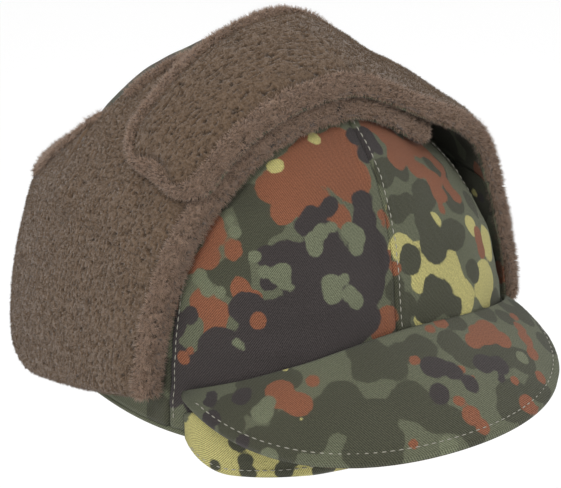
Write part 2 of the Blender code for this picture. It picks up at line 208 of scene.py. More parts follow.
def settle(points):
    """Where points go as the left of the crown and all that lies on it sinks."""
    across = np.clip(points[..., 0] / SETTLING_WIDTH, 0, 1)
    share = np.sin(np.pi * across) ** 2 * smooth(points[..., 2], *SETTLING_HEIGHTS)
    settled = points.copy()
    settled[..., 2] *= 1 - SETTLING * share
    return settled


def sided(points, on_left):
    """The points on the wearer's right, or their twins on the left."""
    if on_left:
        points = points * np.array((-1, 1, 1))
    return settle(points)


# Noise.


def noise_at(points, size, seed):
    """Smooth noise from -1 to 1 with bumps of that size, which may differ along x, y and z."""
    flat = points.reshape(-1, 3) / np.array(size) + seed * 17.3
    values = [noise.noise(Vector(p)) for p in flat]
    return np.array(values).reshape(points.shape[:-1])


# Meshes.


def mesh_object(name, verts, faces, material):
    """A smooth-shaded mesh object from arrays of points and of equal-sided faces."""
    mesh = bpy.data.meshes.new(name)
    mesh.vertices.add(len(verts))
    mesh.vertices.foreach_set("co", np.asarray(verts, np.float32).ravel())
    sides = faces.shape[1]
    mesh.loops.add(faces.size)
    mesh.loops.foreach_set("vertex_index", faces.astype(np.int32).ravel())
    mesh.polygons.add(len(faces))
    mesh.polygons.foreach_set("loop_start", np.arange(len(faces), dtype=np.int32) * sides)
    mesh.update(calc_edges=True)
    mesh.validate()
    mesh.shade_smooth()
    made = bpy.data.objects.new(name, mesh)
    bpy.context.scene.collection.objects.link(made)
    if material:
        mesh.materials.append(material)
    return made


def add_values(made, name, values):
    """Stores one number for each vertex under a name that a material can read."""
    attribute = made.data.attributes.new(name, "FLOAT", "POINT")
    attribute.data.foreach_set("value", np.asarray(values, np.float32).ravel())


def add_cloth_map(made, across, along):
    """Stores where each vertex lies on the flat cloth, in metres, as a UV map."""
    layer = made.data.uv_layers.new(name="cloth")
    index = np.zeros(len(made.data.loops), np.int32)
    made.data.loops.foreach_get("vertex_index", index)
    flat = np.stack([across.ravel(), along.ravel()], axis=-1)[index]
    layer.data.foreach_set("uv", flat.astype(np.float32).ravel())


class Grid:
    """A rectangular grid of points on a surface, with its shares u and v and its size in metres."""

    def __init__(self, place, width, height, step):
        self.columns = max(int(round(width / step)), 2)
        self.rows = max(int(round(height / step)), 2)
        u = np.linspace(0, 1, self.columns + 1)
        v = np.linspace(0, 1, self.rows + 1)
        self.u, self.v = np.meshgrid(u, v)
        self.place = place
        self.width = width
        self.height = height

    def at(self, offset):
        """The grid's points at a distance from the surface, which may differ from point to point."""
        return self.place(self.u, self.v, offset + 0 * self.u)

    def slab(self, name, inner, outer, material):
        """A closed piece between two sets of the grid's points."""
        size = self.u.size
        index = np.arange(size).reshape(self.rows + 1, self.columns + 1)
        a, b, c, d = index[:-1, :-1], index[:-1, 1:], index[1:, 1:], index[1:, :-1]
        front = np.stack([a, b, c, d], axis=-1).reshape(-1, 4)
        back = front[:, ::-1] + size
        rim = np.concatenate([index[0, :], index[1:, -1], index[-1, -2::-1], index[-2:0:-1, 0]])
        after = np.roll(rim, -1)
        wall = np.stack([after, rim, rim + size, after + size], axis=-1)
        faces = np.concatenate([front, back, wall])
        middle = (self.rows // 2, self.columns // 2)
        along_u = outer[middle[0], middle[1] + 1] - outer[middle]
        along_v = outer[middle[0] + 1, middle[1]] - outer[middle]
        if np.dot(np.cross(along_u, along_v), outer[middle] - inner[middle]) < 0:
            faces = faces[:, ::-1]
        verts = np.concatenate([outer.reshape(-1, 3), inner.reshape(-1, 3)])
        made = mesh_object(name, verts, faces, material)
        across = np.tile(self.u.ravel() * self.width, 2)
        add_cloth_map(made, across, np.tile(self.v.ravel() * self.height, 2))
        return made


# Materials.


def new_material(name, colour, roughness):
    """A material with a plain Principled shader, and its tree and shader."""
    made = bpy.data.materials.new(name)
    made.use_nodes = True
    shader = made.node_tree.nodes["Principled BSDF"]
    shader.inputs["Base Color"].default_value = (*colour, 1)
    shader.inputs["Roughness"].default_value = roughness
    return made, made.node_tree, shader


def calculate(tree, operation, first, second=None):
    """A Math node between links or numbers; returns its output."""
    node = tree.nodes.new("ShaderNodeMath")
    node.operation = operation
    for socket, value in zip(node.inputs, (first, second)):
        if value is None:
            continue
        if isinstance(value, (int, float)):
            socket.default_value = value
        else:
            tree.links.new(value, socket)
    return node.outputs[0]


def weighted(tree, *parts):
    """The sum of some links, each times its own share."""
    total = None
    for value, share in parts:
        part = calculate(tree, "MULTIPLY", value, share)
        total = part if total is None else calculate(tree, "ADD", total, part)
    return total


def stepped(tree, value, start, end):
    """0 before start, 1 after end, as a Map Range node; returns its output."""
    node = tree.nodes.new("ShaderNodeMapRange")
    node.inputs["From Min"].default_value = start
    node.inputs["From Max"].default_value = end
    tree.links.new(value, node.inputs["Value"])
    return node.outputs["Result"]


def painted(tree, under, over_colour, share):
    """over_colour laid on under by a share; each colour is a link or a tuple; returns the link."""
    node = tree.nodes.new("ShaderNodeMix")
    node.data_type = "RGBA"
    for socket, value in ((node.inputs[6], under), (node.inputs[7], over_colour)):
        if isinstance(value, tuple):
            socket.default_value = (*value, 1)
        else:
            tree.links.new(value, socket)
    if isinstance(share, (int, float)):
        node.inputs[0].default_value = share
    else:
        tree.links.new(share, node.inputs[0])
    return node.outputs[2]


def value_of(tree, name):
    """The number stored for each vertex under that name."""
    node = tree.nodes.new("ShaderNodeAttribute")
    node.attribute_name = name
    return node.outputs["Fac"]


def cloth_place(tree):
    """Where the point lies on the flat cloth, in metres."""
    node = tree.nodes.new("ShaderNodeUVMap")
    node.uv_map = "cloth"
    return node.outputs["UV"]


def noise_node(tree, place, scale, detail=2.0):
    """A Noise Texture's value."""
    node = tree.nodes.new("ShaderNodeTexNoise")
    node.inputs["Scale"].default_value = scale
    node.inputs["Detail"].default_value = detail
    tree.links.new(place, node.inputs["Vector"])
    return node.outputs["Fac"]


def stripes(tree, place, turn, pitch):
    """Fine ribs across the cloth at an angle in degrees, a pitch in metres apart."""
    turned = tree.nodes.new("ShaderNodeMapping")
    turned.inputs["Rotation"].default_value = (0, 0, math.radians(turn))
    tree.links.new(place, turned.inputs["Vector"])
    wave = tree.nodes.new("ShaderNodeTexWave")
    wave.inputs["Scale"].default_value = WAVE_SCALE / pitch
    wave.inputs["Distortion"].default_value = 0.6
    wave.inputs["Detail"].default_value = 1.0
    tree.links.new(turned.outputs["Vector"], wave.inputs["Vector"])
    return wave.outputs["Fac"]


def bumped(tree, shader, height, distance, strength):
    """Gives the shader a bump from a height."""
    node = tree.nodes.new("ShaderNodeBump")
    node.inputs["Distance"].default_value = distance
    node.inputs["Strength"].default_value = strength
    tree.links.new(height, node.inputs["Height"])
    tree.links.new(node.outputs["Normal"], shader.inputs["Normal"])


# The print's colours, from the ground up, how rough its borders are, and the weave under it.
GREY_GREEN = (0.108, 0.115, 0.072)
PRINT_LAYERS = {
    "yellow_under": (0.435, 0.395, 0.150),
    "green": (0.056, 0.057, 0.036),
    "red": (0.215, 0.080, 0.040),
    "purple": (0.040, 0.033, 0.032),
    "red_over": (0.215, 0.080, 0.040),
    "grey_green_over": (0.140, 0.152, 0.094),
    "yellow_over": (0.470, 0.430, 0.165),
}
PRINT_WOBBLE = 0.5 * MM
PRINT_SWAY = 2.2 * MM
PRINT_EDGE = 0.30 * MM
WAVE_SCALE = 0.314
TWILL_PITCH = 0.72 * MM
RIB_SHARE = 0.75
THREAD_SHARE = 0.3
SPECKLE_HEIGHT = 0.6
WEAVE_LIGHT = 1.2
SPECKLE_LIGHT = 1.0
FADING_LIGHT = 0.3
TWILL_DARKENING = 0.20

# The wool of the pile: its ground, and the tones of its tufts, of which the last is for rolled edges.
PILE_BROWN = (0.120, 0.074, 0.041)
PILE_PALE = (0.270, 0.182, 0.130)
# Painted shade, laid in the pile's pits and in the groove beside its rolled edges.
PILE_PIT_SHADE = (0.013, 0.008, 0.005)
PILE_LIGHT_FLECK = (0.175, 0.126, 0.092)
PILE_SHADE = (0.088, 0.064, 0.047)
TUFT_TONES = [
    (0.136, 0.084, 0.046),
    (0.092, 0.056, 0.030),
    (0.178, 0.113, 0.065),
    (0.345, 0.240, 0.176),
]

# The sewing thread, from its dark twists to its pale ones.
THREAD_OLIVE = (0.30, 0.29, 0.24)
THREAD_TONES = ((0.22, 0.215, 0.17), (0.42, 0.40, 0.34))

# How dark unprinted cloth is in its shade.
CLOTH_SHADE = 0.72


def twill_material(name, ground):
    """Printed cotton twill: blotches in layers, diagonal ribs, slight fading and fluff."""
    made, tree, shader = new_material(name, ground, roughness=0.86)
    place = cloth_place(tree)
    wobble = calculate(tree, "SUBTRACT", noise_node(tree, place, scale=420, detail=1.0), 0.5)
    sway = calculate(tree, "SUBTRACT", noise_node(tree, place, scale=90, detail=0.0), 0.5)
    wobble = weighted(tree, (wobble, PRINT_WOBBLE * 2), (sway, PRINT_SWAY * 2))
    colour = ground
    for layer, tint in PRINT_LAYERS.items():
        reach = calculate(tree, "ADD", value_of(tree, layer), wobble)
        colour = painted(tree, colour, tint, stepped(tree, reach, -PRINT_EDGE, PRINT_EDGE))
    ribs = stripes(tree, place, turn=38, pitch=TWILL_PITCH)
    threads = stripes(tree, place, turn=90, pitch=TWILL_PITCH * 0.7)
    weave = weighted(tree, (ribs, RIB_SHARE), (threads, THREAD_SHARE))
    speckle = noise_node(tree, place, scale=1500, detail=1.0)
    fading = noise_node(tree, place, scale=28, detail=3.0)
    light = weighted(tree, (weave, WEAVE_LIGHT), (speckle, SPECKLE_LIGHT), (fading, FADING_LIGHT))
    light = calculate(tree, "SUBTRACT", light, TWILL_DARKENING)
    lit = tree.nodes.new("ShaderNodeMix")
    lit.data_type = "RGBA"
    lit.blend_type = "MULTIPLY"
    lit.inputs[0].default_value = 1
    tree.links.new(colour, lit.inputs[6])
    grey = tree.nodes.new("ShaderNodeCombineColor")
    for socket in grey.inputs[:3]:
        tree.links.new(light, socket)
    tree.links.new(grey.outputs[0], lit.inputs[7])
    tree.links.new(lit.outputs[2], shader.inputs["Base Color"])
    shader.inputs["Sheen Weight"].default_value = 0.08
    shader.inputs["Sheen Roughness"].default_value = 0.5
    shader.inputs["Specular IOR Level"].default_value = 0.25
    height = weighted(tree, (weave, 1), (speckle, SPECKLE_HEIGHT))
    bumped(tree, shader, height, distance=0.35 * MM, strength=0.9)
    return made


def pile_material():
    """The pile's ground: brown wool, painted shade in its pits and groove, and paler rolled edges."""
    made, tree, shader = new_material("brown_pile", PILE_BROWN, roughness=1.0)
    place = cloth_place(tree)
    fine = noise_node(tree, place, scale=1400, detail=2.0)
    broad = noise_node(tree, place, scale=45, detail=3.0)
    colour = painted(tree, PILE_BROWN, PILE_PALE, value_of(tree, "edge"))
    colour = painted(tree, colour, PILE_LIGHT_FLECK, stepped(tree, fine, start=0.42, end=0.75))
    colour = painted(tree, colour, PILE_SHADE, stepped(tree, broad, start=0.5, end=1.1))
    # Painted shade: the stored pit share darkens the pits and the groove towards near black.
    colour = painted(tree, colour, PILE_PIT_SHADE, value_of(tree, "pit"))
    tree.links.new(colour, shader.inputs["Base Color"])
    shader.inputs["Sheen Weight"].default_value = 0.25
    shader.inputs["Sheen Roughness"].default_value = 0.6
    shader.inputs["Specular IOR Level"].default_value = 0.1
    bumped(tree, shader, fine, distance=0.5 * MM, strength=0.8)
    return made


def tuft_materials():
    """Plain wool in a few tones, one of which each tuft takes."""
    found = []
    for number, tone in enumerate(TUFT_TONES):
        made, _, shader = new_material(f"wool_tone_{number + 1}", tone, roughness=1.0)
        shader.inputs["Sheen Weight"].default_value = 0.2
        shader.inputs["Specular IOR Level"].default_value = 0.1
        found.append(made)
    return found


def thread_material():
    """Pale olive sewing thread."""
    made, tree, shader = new_material("sewing_thread", THREAD_OLIVE, roughness=0.6)
    place = tree.nodes.new("ShaderNodeTexCoord").outputs["Object"]
    twist = noise_node(tree, place, scale=2500)
    colour = painted(tree, *THREAD_TONES, twist)
    tree.links.new(colour, shader.inputs["Base Color"])
    bumped(tree, shader, twist, distance=0.1 * MM, strength=0.5)
    return made


def plain_cloth_material(name, colour, pitch, roughness):
    """An unprinted woven cloth in its own colour, with ribs and slight fading."""
    made, tree, shader = new_material(name, colour, roughness)
    place = tree.nodes.new("ShaderNodeTexCoord").outputs["Object"]
    ribs = stripes(tree, place, turn=40, pitch=pitch)
    fading = noise_node(tree, place, scale=60, detail=3.0)
    dark = tuple(channel * CLOTH_SHADE for channel in colour)
    shade = painted(tree, colour, dark, stepped(tree, fading, start=0.35, end=0.75))
    shade = painted(tree, shade, dark, calculate(tree, "MULTIPLY", ribs, 0.5))
    tree.links.new(shade, shader.inputs["Base Color"])
    bumped(tree, shader, ribs, distance=0.2 * MM, strength=0.6)
    return made


# The print's spots: x and z on the crown's front, or x and y on the visor, and a radius, in millimetres.
FRONT_SPOTS = {
    "yellow_under": [
        (8, 69, 6), (16, 63, 8), (28, 58, 9), (29, 50, 9), (33, 43, 9), (52, 42, 10), (62, 52, 8),
        (13, 55, 4), (29, 76, 4), (50, 66, 4), (11, 41, 3), (8, 84, 2),
    ],
    "green": [
        (-44, 91, 9), (-41, 86, 6), (-53, 92, 7), (-49, 79, 6), (-58, 67, 8), (-64, 67, 5), (-74, 58, 6),
        (-65, 77, 6), (-46, 84, 7), (11, 64, 6), (12, 83, 6), (17, 85, 5), (23, 76, 6), (25, 68, 8),
        (37, 68, 7), (28, 86, 7), (20, 97, 6), (11, 96, 6), (22, 47, 8), (15, 45, 6), (44, 50, 5),
        (1, 56, 5), (4, 48, 6), (1, 40, 6), (74, 34, 7), (71, 20, 8), (79, 12, 6), (66, 86, 7),
        (60, 100, 7), (76, 56, 5), (60, 28, 7), (-38, 109, 8), (-24, 119, 8), (-8, 124, 7), (24, 116, 8),
        (10, 124, 7), (38, 108, 7), (45, 93, 8), (45, 80, 7), (58, 70, 6), (19, 53, 3.5), (28, 41, 5),
    ],
    "red": [
        (-28, 99, 10), (-16, 104, 11), (-5, 106, 9), (-5, 96, 9), (-24, 90, 8), (-35, 89, 5),
        (-37, 97, 6), (-4, 91, 5), (-15, 85, 5), (-57, 84, 4), (-59, 79, 5), (-56, 76, 4), (-62, 73, 5),
        (-68, 68, 4), (-57, 63, 4), (-54, 60, 3), (-68, 56, 6), (-66, 52, 6), (-75, 52, 4), (-67, 46, 5),
        (-4, 45, 5), (-9, 41, 4), (22, 108, 7), (15, 112, 6), (29, 103, 6), (38, 103, 6), (34, 95, 4),
        (38, 90, 4.5), (38, 84, 4.5), (36, 79, 3), (22, 101, 6), (30, 97, 5), (44, 99, 5), (47, 92, 4.5),
        (46, 86, 4), (49, 80, 3.5), (3, 82, 3), (3, 79, 2.5), (0, 67, 3.2), (3, 63, 2.8), (54, 60, 4),
        (54, 54, 4),
    ],
    "purple": [
        (-44, 47, 15), (-28, 50, 15), (-14, 62, 12), (-27, 70, 12), (-39, 74, 8), (-46, 74, 5),
        (-35, 63, 10), (-6, 74, 8), (-4, 82, 6), (-3, 88, 5), (-18, 89, 4), (-26, 86, 5), (-31, 84, 4),
        (-22, 80, 5), (-57, 55, 7), (-54, 42, 14), (-66, 37, 12), (-76, 45, 6), (-72, 50, 4),
        (-79, 36, 7), (-77, 27, 11), (-63, 31, 11), (-38, 39, 12), (-27, 40, 8), (-5, 66, 6),
        (-18, 48, 10), (-48, 66, 4), (-81, 20, 10), (0, 115, 4), (4, 108, 4), (10, 107, 5),
        (12, 104, 3.5), (5, 102, 3.5), (-70, 18, 14),
    ],
    "red_over": [(-55, 51, 3), (-74, 37, 2), (-76, 33, 3)],
    "grey_green_over": [
        (-29, 76, 3), (-29, 79, 2.6), (-24, 81, 2.6), (-19, 82, 2.6), (-13, 80, 3), (-10, 77, 3.2),
        (-12, 73, 3), (-25, 63, 4), (-26, 59, 3.4), (-20, 64, 2), (-17, 55, 3.2), (-19, 58, 3),
        (-62, 43, 3.2), (-61, 41, 2), (-50, 74, 2.4), (-49, 69, 3), (-45, 68, 3), (-42, 70, 2.2),
        (-43, 65, 2.4), (-41, 63, 1.8), (-53, 86, 2.6), (-53, 82, 2.4), (-67, 64, 3), (-66, 61, 3.4),
        (-63, 61, 2.6),
    ],
    "yellow_over": [(-32, 103, 3.1), (-13, 110, 2.6), (-4, 114, 2.5)],
}
VISOR_SPOTS = {
    "green": [
        (-51, -92, 6), (-56, -84, 4), (-62, -82, 6), (-72, -84, 7), (-75, -90, 6), (-64, -92, 7),
        (-72, -100, 6), (-60, -107, 8), (-66, -110, 7), (-56, -114, 7), (-45, -112, 9), (-38, -110, 8),
        (-38, -120, 9), (-42, -128, 8), (-34, -134, 7), (-20, -97, 8), (-15, -106, 8), (-23, -106, 7),
        (-15, -123, 9), (-9, -128, 8), (-2, -133, 6), (-30, -122, 8), (-29, -130, 6), (2, -104, 7),
        (-5, -104, 5), (17, -105, 6), (21, -112, 7), (25, -96, 5), (36, -112, 8), (46, -115, 7),
        (44, -92, 6), (54, -92, 5), (66, -88, 7), (68, -100, 6), (74, -78, 7), (76, -90, 6), (60, -84, 5),
        (30, -128, 8), (45, -126, 7), (24, -134, 5), (3, -140, 5), (32, -138, 5),
    ],
    "red": [
        (-56, -95, 6), (-53, -103, 6), (-44, -98, 3), (26, -106, 4), (33, -103, 5), (38, -99, 5),
        (42, -106, 4), (12, -98, 3), (18, -96, 3), (13, -117, 2), (16, -121, 2), (4, -128, 3.5),
        (6, -133, 4), (9, -138, 3), (36, -132, 4), (40, -135, 3), (50, -121, 3), (60, -91, 3),
        (58, -97, 3), (55, -104, 3), (54, -111, 3), (35, -123, 2), (-22, -134, 2.5), (-3, -108, 2),
    ],
    "purple": [
        (3, -114, 5), (9, -118, 4), (13, -123, 4.5), (-1, -124, 5), (25, -117, 5), (32, -118, 5),
        (28, -122, 3), (-75, -74, 3.5), (-67, -84, 4), (-79, -80, 4), (-75, -97, 4),
    ],
    "grey_green_over": [(-66, -95, 4.5), (-62, -93, 3), (-72, -108, 3.5), (46, -113, 3), (-9, -140, 4)],
    "yellow_over": [(-56, -107, 1.6), (-49, -87, 1.2)],
}
UNDER_SPOTS = {
    "green": [(x, y, 12) for x in range(-72, 80, 24) for y in (-90, -112)],
    "red": [
        (-48, -128, 9), (-34, -138, 9), (-18, -141, 8), (26, -140, 9), (44, -130, 8), (0, -118, 5),
        (-60, -100, 6),
    ],
}
FLAP_SPOTS = {
    "yellow_under": [(x, z, 13) for x in range(-84, 90, 12) for z in (-8, 4)],
    "green": [
        (-64, -4, 4), (-63, -9, 4), (-66, 4, 4), (-52, -8, 4), (-49, -3, 4), (-38, -9, 5), (-72, -7, 3),
        (-22, -6, 5), (-6, -10, 5), (12, -5, 5), (30, -9, 5), (48, -6, 5), (64, -2, 4), (-40, 6, 5),
        (45, 8, 5),
    ],
}

# Scattered print: for each layer, spots for each 1000 square millimetres and their radii in millimetres.
SCATTER = {
    "green": (20, 4, 8),
    "red": (3.8, 2.5, 6.5),
    "purple": (3.0, 3, 7),
    "yellow_over": (1.2, 1.5, 3.6),
}
SPOTS_IN_CLUMP = 3
CLUMP_SPREAD = 5 * MM
SPOT_SOFTNESS = 0.7 * MM
EXPONENT_RANGE = (-30, 30)
NOWHERE = -1.0


def soft_reach(points, centres, radii):
    """How far inside the union of some balls each point lies; the balls' joins are rounded."""
    total = np.zeros(len(points))
    for centre, radius in zip(centres, radii):
        inside = radius - np.linalg.norm(points - centre, axis=1)
        total += np.exp(np.clip(inside / SPOT_SOFTNESS, *EXPONENT_RANGE))
    return SPOT_SOFTNESS * np.log(total + TINY)


def print_spots(made, spots, centre_of):
    """Stores each print layer's reach from listed spots."""
    points = vertices_of(made)
    for layer in PRINT_LAYERS:
        chosen = spots.get(layer, [])
        if chosen:
            centres = [centre_of(a * MM, b * MM) for a, b, _ in chosen]
            values = soft_reach(points, centres, [radius * MM for _, _, radius in chosen])
        else:
            values = np.full(len(points), NOWHERE)
        add_values(made, layer, values)


def print_scattered(made, seed):
    """Stores each print layer's reach from clumps of scattered spots."""
    points = vertices_of(made)
    random = np.random.default_rng(seed)
    area = sum(p.area for p in made.data.polygons) / 2
    for layer in PRINT_LAYERS:
        values = np.full(len(points), NOWHERE)
        if layer in SCATTER:
            density, least, most = SCATTER[layer]
            count = max(int(density * area * 1000), 1)
            homes = points[random.integers(0, len(points), max(count // SPOTS_IN_CLUMP, 1))]
            centres = []
            for number in range(count):
                centres.append(homes[number % len(homes)] + random.normal(0, CLUMP_SPREAD, 3))
            radii = random.uniform(least, most, count) * MM
            values = soft_reach(points, centres, radii)
        add_values(made, layer, values)


def vertices_of(made):
    """An object's points as an array."""
    points = np.zeros(len(made.data.vertices) * 3, np.float32)
    made.data.vertices.foreach_get("co", points)
    return points.reshape(-1, 3).astype(float)


# Stitches. Each is a short closed tube of this many rings and sides.

STITCH_RINGS = 5
STITCH_SIDES = 6
STITCH_START_FACES = ((0, 1, 2, 3), (0, 3, 4, 5))
STITCH_LAST_FACES = ((0, 3, 2, 1), (0, 5, 4, 3))
STITCH_END_SIZE = 0.25
STITCH_BOW = 0.9
STITCH_SINK = 0.35
STITCH_REACH = 1.4 * MM
THREAD_LIFT = 0.12 * MM
INNER_STITCH_REACH = 2 * MM


def stitches(name, points, outwards, pitch=3.1 * MM, length=2.2 * MM, radius=0.24 * MM):
    """A row of short thread stitches along a line of points, lying on the crown's cloth."""
    legs = np.linalg.norm(np.diff(points, axis=0), axis=1)
    run = np.concatenate([[0], np.cumsum(legs)])
    centres = np.arange(pitch / 2, run[-1], pitch)

    def along(where, values):
        return np.stack([np.interp(where, run, values[:, i]) for i in range(3)], axis=-1)

    verts = []
    faces = []
    for centre in centres:
        up = along(centre, outwards)
        up = up / np.linalg.norm(up)
        start = len(verts)
        for ring in range(STITCH_RINGS):
            share = ring / (STITCH_RINGS - 1)
            spot = along(centre + (share - 0.5) * length, points)
            ahead = along(centre + (share - 0.5) * length + 0.1 * MM, points) - spot
            ahead = ahead / max(np.linalg.norm(ahead), TINY)
            side = np.cross(ahead, up)
            bow = math.sin(math.pi * share)
            size = radius * mix(STITCH_END_SIZE, 1, bow**0.5)
            spot = spot + up * (bow * STITCH_BOW - STITCH_SINK) * radius
            for k in range(STITCH_SIDES):
                turn = 2 * math.pi * k / STITCH_SIDES
                verts.append(spot + (side * math.cos(turn) + up * math.sin(turn)) * size)
        for ring in range(STITCH_RINGS - 1):
            for k in range(STITCH_SIDES):
                a = start + ring * STITCH_SIDES + k
                b = start + ring * STITCH_SIDES + (k + 1) % STITCH_SIDES
                faces.append((a, b, b + STITCH_SIDES, a + STITCH_SIDES))
        last = start + (STITCH_RINGS - 1) * STITCH_SIDES
        for first, ends in ((start, STITCH_START_FACES), (last, STITCH_LAST_FACES)):
            for order in ends:
                faces.append(tuple(first + k for k in order))
    made = mesh_object(name, np.array(verts), np.array(faces), MATERIALS["thread"])
    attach(made, "crown")


def stitch_row(name, place, u, v, low, high, **look):
    """Stitches along shares u and v of a surface at a low offset; they stand up towards a high one."""
    u, v, low, high = np.broadcast_arrays(u, v, low, high)
    line = place(u, v, low)
    stitches(name, line, place(u, v, high) - line, **look)


def stand_for(made, slot, *nodes):
    """Makes a piece ride on the crown and hides the CAD nodes that it replaces; slot is not used."""
    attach(made, "crown")
    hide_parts(*nodes)


# The crown. Its wrinkles are each a depth, the sizes along x, y and z, and a seed.

SEAM_DIP = 1.1 * MM
SEAM_WIDTH = 1.3 * MM
LAP_WIDTH = 5.5 * MM
LAP_EDGE = (LAP_WIDTH - 0.6 * MM, LAP_WIDTH + 0.4 * MM)
LAP_RISE = 0.35 * MM
SEAM_STITCH_INSET = 2.2 * MM
STITCH_DIP = 0.25 * MM
STITCH_DIP_WIDTH = 0.5 * MM
PUCKER_DEPTH = 0.3 * MM
PUCKER_SIZE = 3.2 * MM
PUCKER_REACH = 5 * MM
PANEL_INSIDE = -1.9 * MM
PANEL_BOTTOM = 1.2
PANEL_FULLNESS = 1.03
PATCH_LAP = 0.3
FRONT_SEAM_LEAN = 6.5
FRONT_SEAM_HEIGHTS = (42 * MM, 105 * MM)
CROWN_WRINKLES = [
    (1.1 * MM, (26 * MM, 26 * MM, 15 * MM), 1),
    (0.35 * MM, (9 * MM, 9 * MM, 5 * MM), 2),
    (0.75 * MM, (34 * MM, 34 * MM, 8 * MM), 4),
]
# Each panel of the crown: the turns at which it starts and ends, and whether its lap is at its start.
CROWN_PANELS = {
    "back_right": (-180, -BACK_SEAM_TURN, False),
    "side_right": (-BACK_SEAM_TURN, -SIDE_SEAM_TURN, False),
    "front_right": (-SIDE_SEAM_TURN, 0, False),
    "front_left": (0, SIDE_SEAM_TURN, True),
    "side_left": (SIDE_SEAM_TURN, BACK_SEAM_TURN, True),
    "back_left": (BACK_SEAM_TURN, 180, True),
}


def seam_turn(turn, z):
    """Where a crown seam runs: the front seam leans towards the wearer's left as it rises."""
    if turn == 0:
        return FRONT_SEAM_LEAN * smooth(z, *FRONT_SEAM_HEIGHTS)
    return turn + 0 * z


def panel_place(start, end):
    """place() for a crown panel between two seams."""

    def place(u, v, offset):
        latitude = mix(PANEL_BOTTOM, TOP_LATITUDE + PATCH_LAP, v)
        z = (CROWN_HEIGHT + offset) * np.sin(np.radians(latitude))
        turn = mix(seam_turn(start, z), seam_turn(end, z), u)
        return settle(dome(turn, latitude, offset))

    return place


def panel_widths(grid, v):
    """How wide a crown panel is at each share v of its height."""
    return grid.width * np.cos(np.radians(mix(PANEL_BOTTOM, TOP_LATITUDE, v)))


def crown_relief(grid, points, lap_at_start):
    """How far the panel's outside stands off its even surface: seams, laps, wadding and wrinkles."""
    widths = panel_widths(grid, grid.v)
    from_start = grid.u * widths
    from_end = (1 - grid.u) * widths
    near = np.minimum(from_start, from_end)
    relief = -SEAM_DIP * (1 - smooth(near, 0, SEAM_WIDTH))
    lap = from_start if lap_at_start else from_end
    relief = relief + LAP_RISE * (1 - smooth(lap, *LAP_EDGE))
    relief = relief - STITCH_DIP * groove_at(lap, SEAM_STITCH_INSET, STITCH_DIP_WIDTH)
    for depth, size, seed in CROWN_WRINKLES:
        relief = relief + depth * noise_at(points, size, seed)
    pucker = noise_at(points, PUCKER_SIZE, seed=3)
    return relief + PUCKER_DEPTH * pucker * np.exp(-near / PUCKER_REACH)


def front_centre(x, z):
    """The point of the crown's front at that x and z."""
    k = narrowing(z, 0) ** PLAN_POWER
    share = np.maximum(k - abs(x / HALF_WIDTH) ** PLAN_POWER, 0)
    return settle(np.array([x, -HALF_LENGTH * share ** (1 / PLAN_POWER), z]))


def build_crown():
    """The crown's six panels and its seams' stitching."""
    for number, (name, (start, end, lap_at_start)) in enumerate(CROWN_PANELS.items()):
        width = math.radians(end - start) * (HALF_WIDTH + HALF_LENGTH) / 2 * PANEL_FULLNESS
        height = math.pi / 2 * (CROWN_HEIGHT + HALF_LENGTH) / 2 * TOP_LATITUDE / 90
        grid = Grid(panel_place(start, end), width, height, CLOTH_STEP)
        points = grid.at(0.0)
        relief = crown_relief(grid, points, lap_at_start)
        outer = grid.at(relief)
        inner = grid.at(PANEL_INSIDE)
        made = grid.slab("crown_" + name + "_cloth", inner, outer, MATERIALS["twill"])
        if name.startswith("front"):
            print_spots(made, FRONT_SPOTS, front_centre)
        else:
            print_scattered(made, seed=40 + number)
        stand_for(made, "camouflage_twill", "crown_" + name)
        if lap_at_start or name == "front_right":
            seam_stitches(name, grid, relief)


def sampled(grid, values, u, v):
    """The grid's values at shares u and v, evened out between its points."""
    column = u * grid.columns
    row = v * grid.rows
    i = np.clip(column.astype(int), 0, grid.columns - 1)
    j = np.clip(row.astype(int), 0, grid.rows - 1)
    low = mix(values[j, i], values[j, i + 1], column - i)
    high = mix(values[j + 1, i], values[j + 1, i + 1], column - i)
    return mix(low, high, row - j)


def seam_stitches(name, grid, relief):
    """Topstitching beside a panel's seam, on the panel's own relief."""
    v = np.linspace(0.02, 0.97, 160)
    widths = panel_widths(grid, v)
    u = SEAM_STITCH_INSET / widths
    lift = sampled(grid, relief, u, v) + THREAD_LIFT
    stitch_row("stitches_crown_" + name, grid.place, u, v, lift, lift + STITCH_REACH)


# The visor and the forehead flap.

VISOR_REACH = 0.985
VISOR_ROOT_INSET = 1.6 * MM
VISOR_SPAN = (205 * MM, 46 * MM)
VISOR_HALF = 1.95 * MM
VISOR_STITCH_INSET = 4.6 * MM
VISOR_ROLL = 1.8 * MM
VISOR_GROOVE = 0.35 * MM
VISOR_WAVES = 0.35 * MM
VISOR_PUFF = 0.3 * MM
VISOR_FADE = 6 * MM
VISOR_CORE = 0.05 * MM
VISOR_LIFT = 0.1 * MM
FRONT_FLAP_SPAN = (190 * MM, 30 * MM)
FRONT_FLAP_MIDDLE = 2.1 * MM
FRONT_FLAP_WAVES = 0.6 * MM
FRONT_FLAP_GROOVE = 0.3 * MM
FRONT_FLAP_ROLL = 1.2 * MM
FRONT_FLAP_STITCH_INSET = 3.4 * MM


def visor_root_z(turn):
    """The arched line on which the visor is sewn."""
    return VISOR_ROOT_END_Z + VISOR_ROOT_RISE * (1 - (turn / VISOR_TURN) ** 2)


def visor_edge(share):
    """The visor's outer edge, from -1 at the wearer's right end to 1 at the left end."""
    t = (1 - np.abs(share))[..., None]
    end = around(np.array(VISOR_TURN), np.array(VISOR_ROOT_END_Z), VISOR_STANDOFF)
    front = np.array((0, VISOR_PROJECTION_Y, VISOR_FRONT_Z))
    before_front = np.array((VISOR_FRONT_HALF, VISOR_PROJECTION_Y, VISOR_FRONT_Z))
    near = end * (1 - t) ** 3 + VISOR_CORNER * (3 * (1 - t) ** 2 * t)
    point = near + before_front * (3 * (1 - t) * t * t) + front * t**3
    point[..., 0] *= np.where(share > 0, 1, -1)
    return point


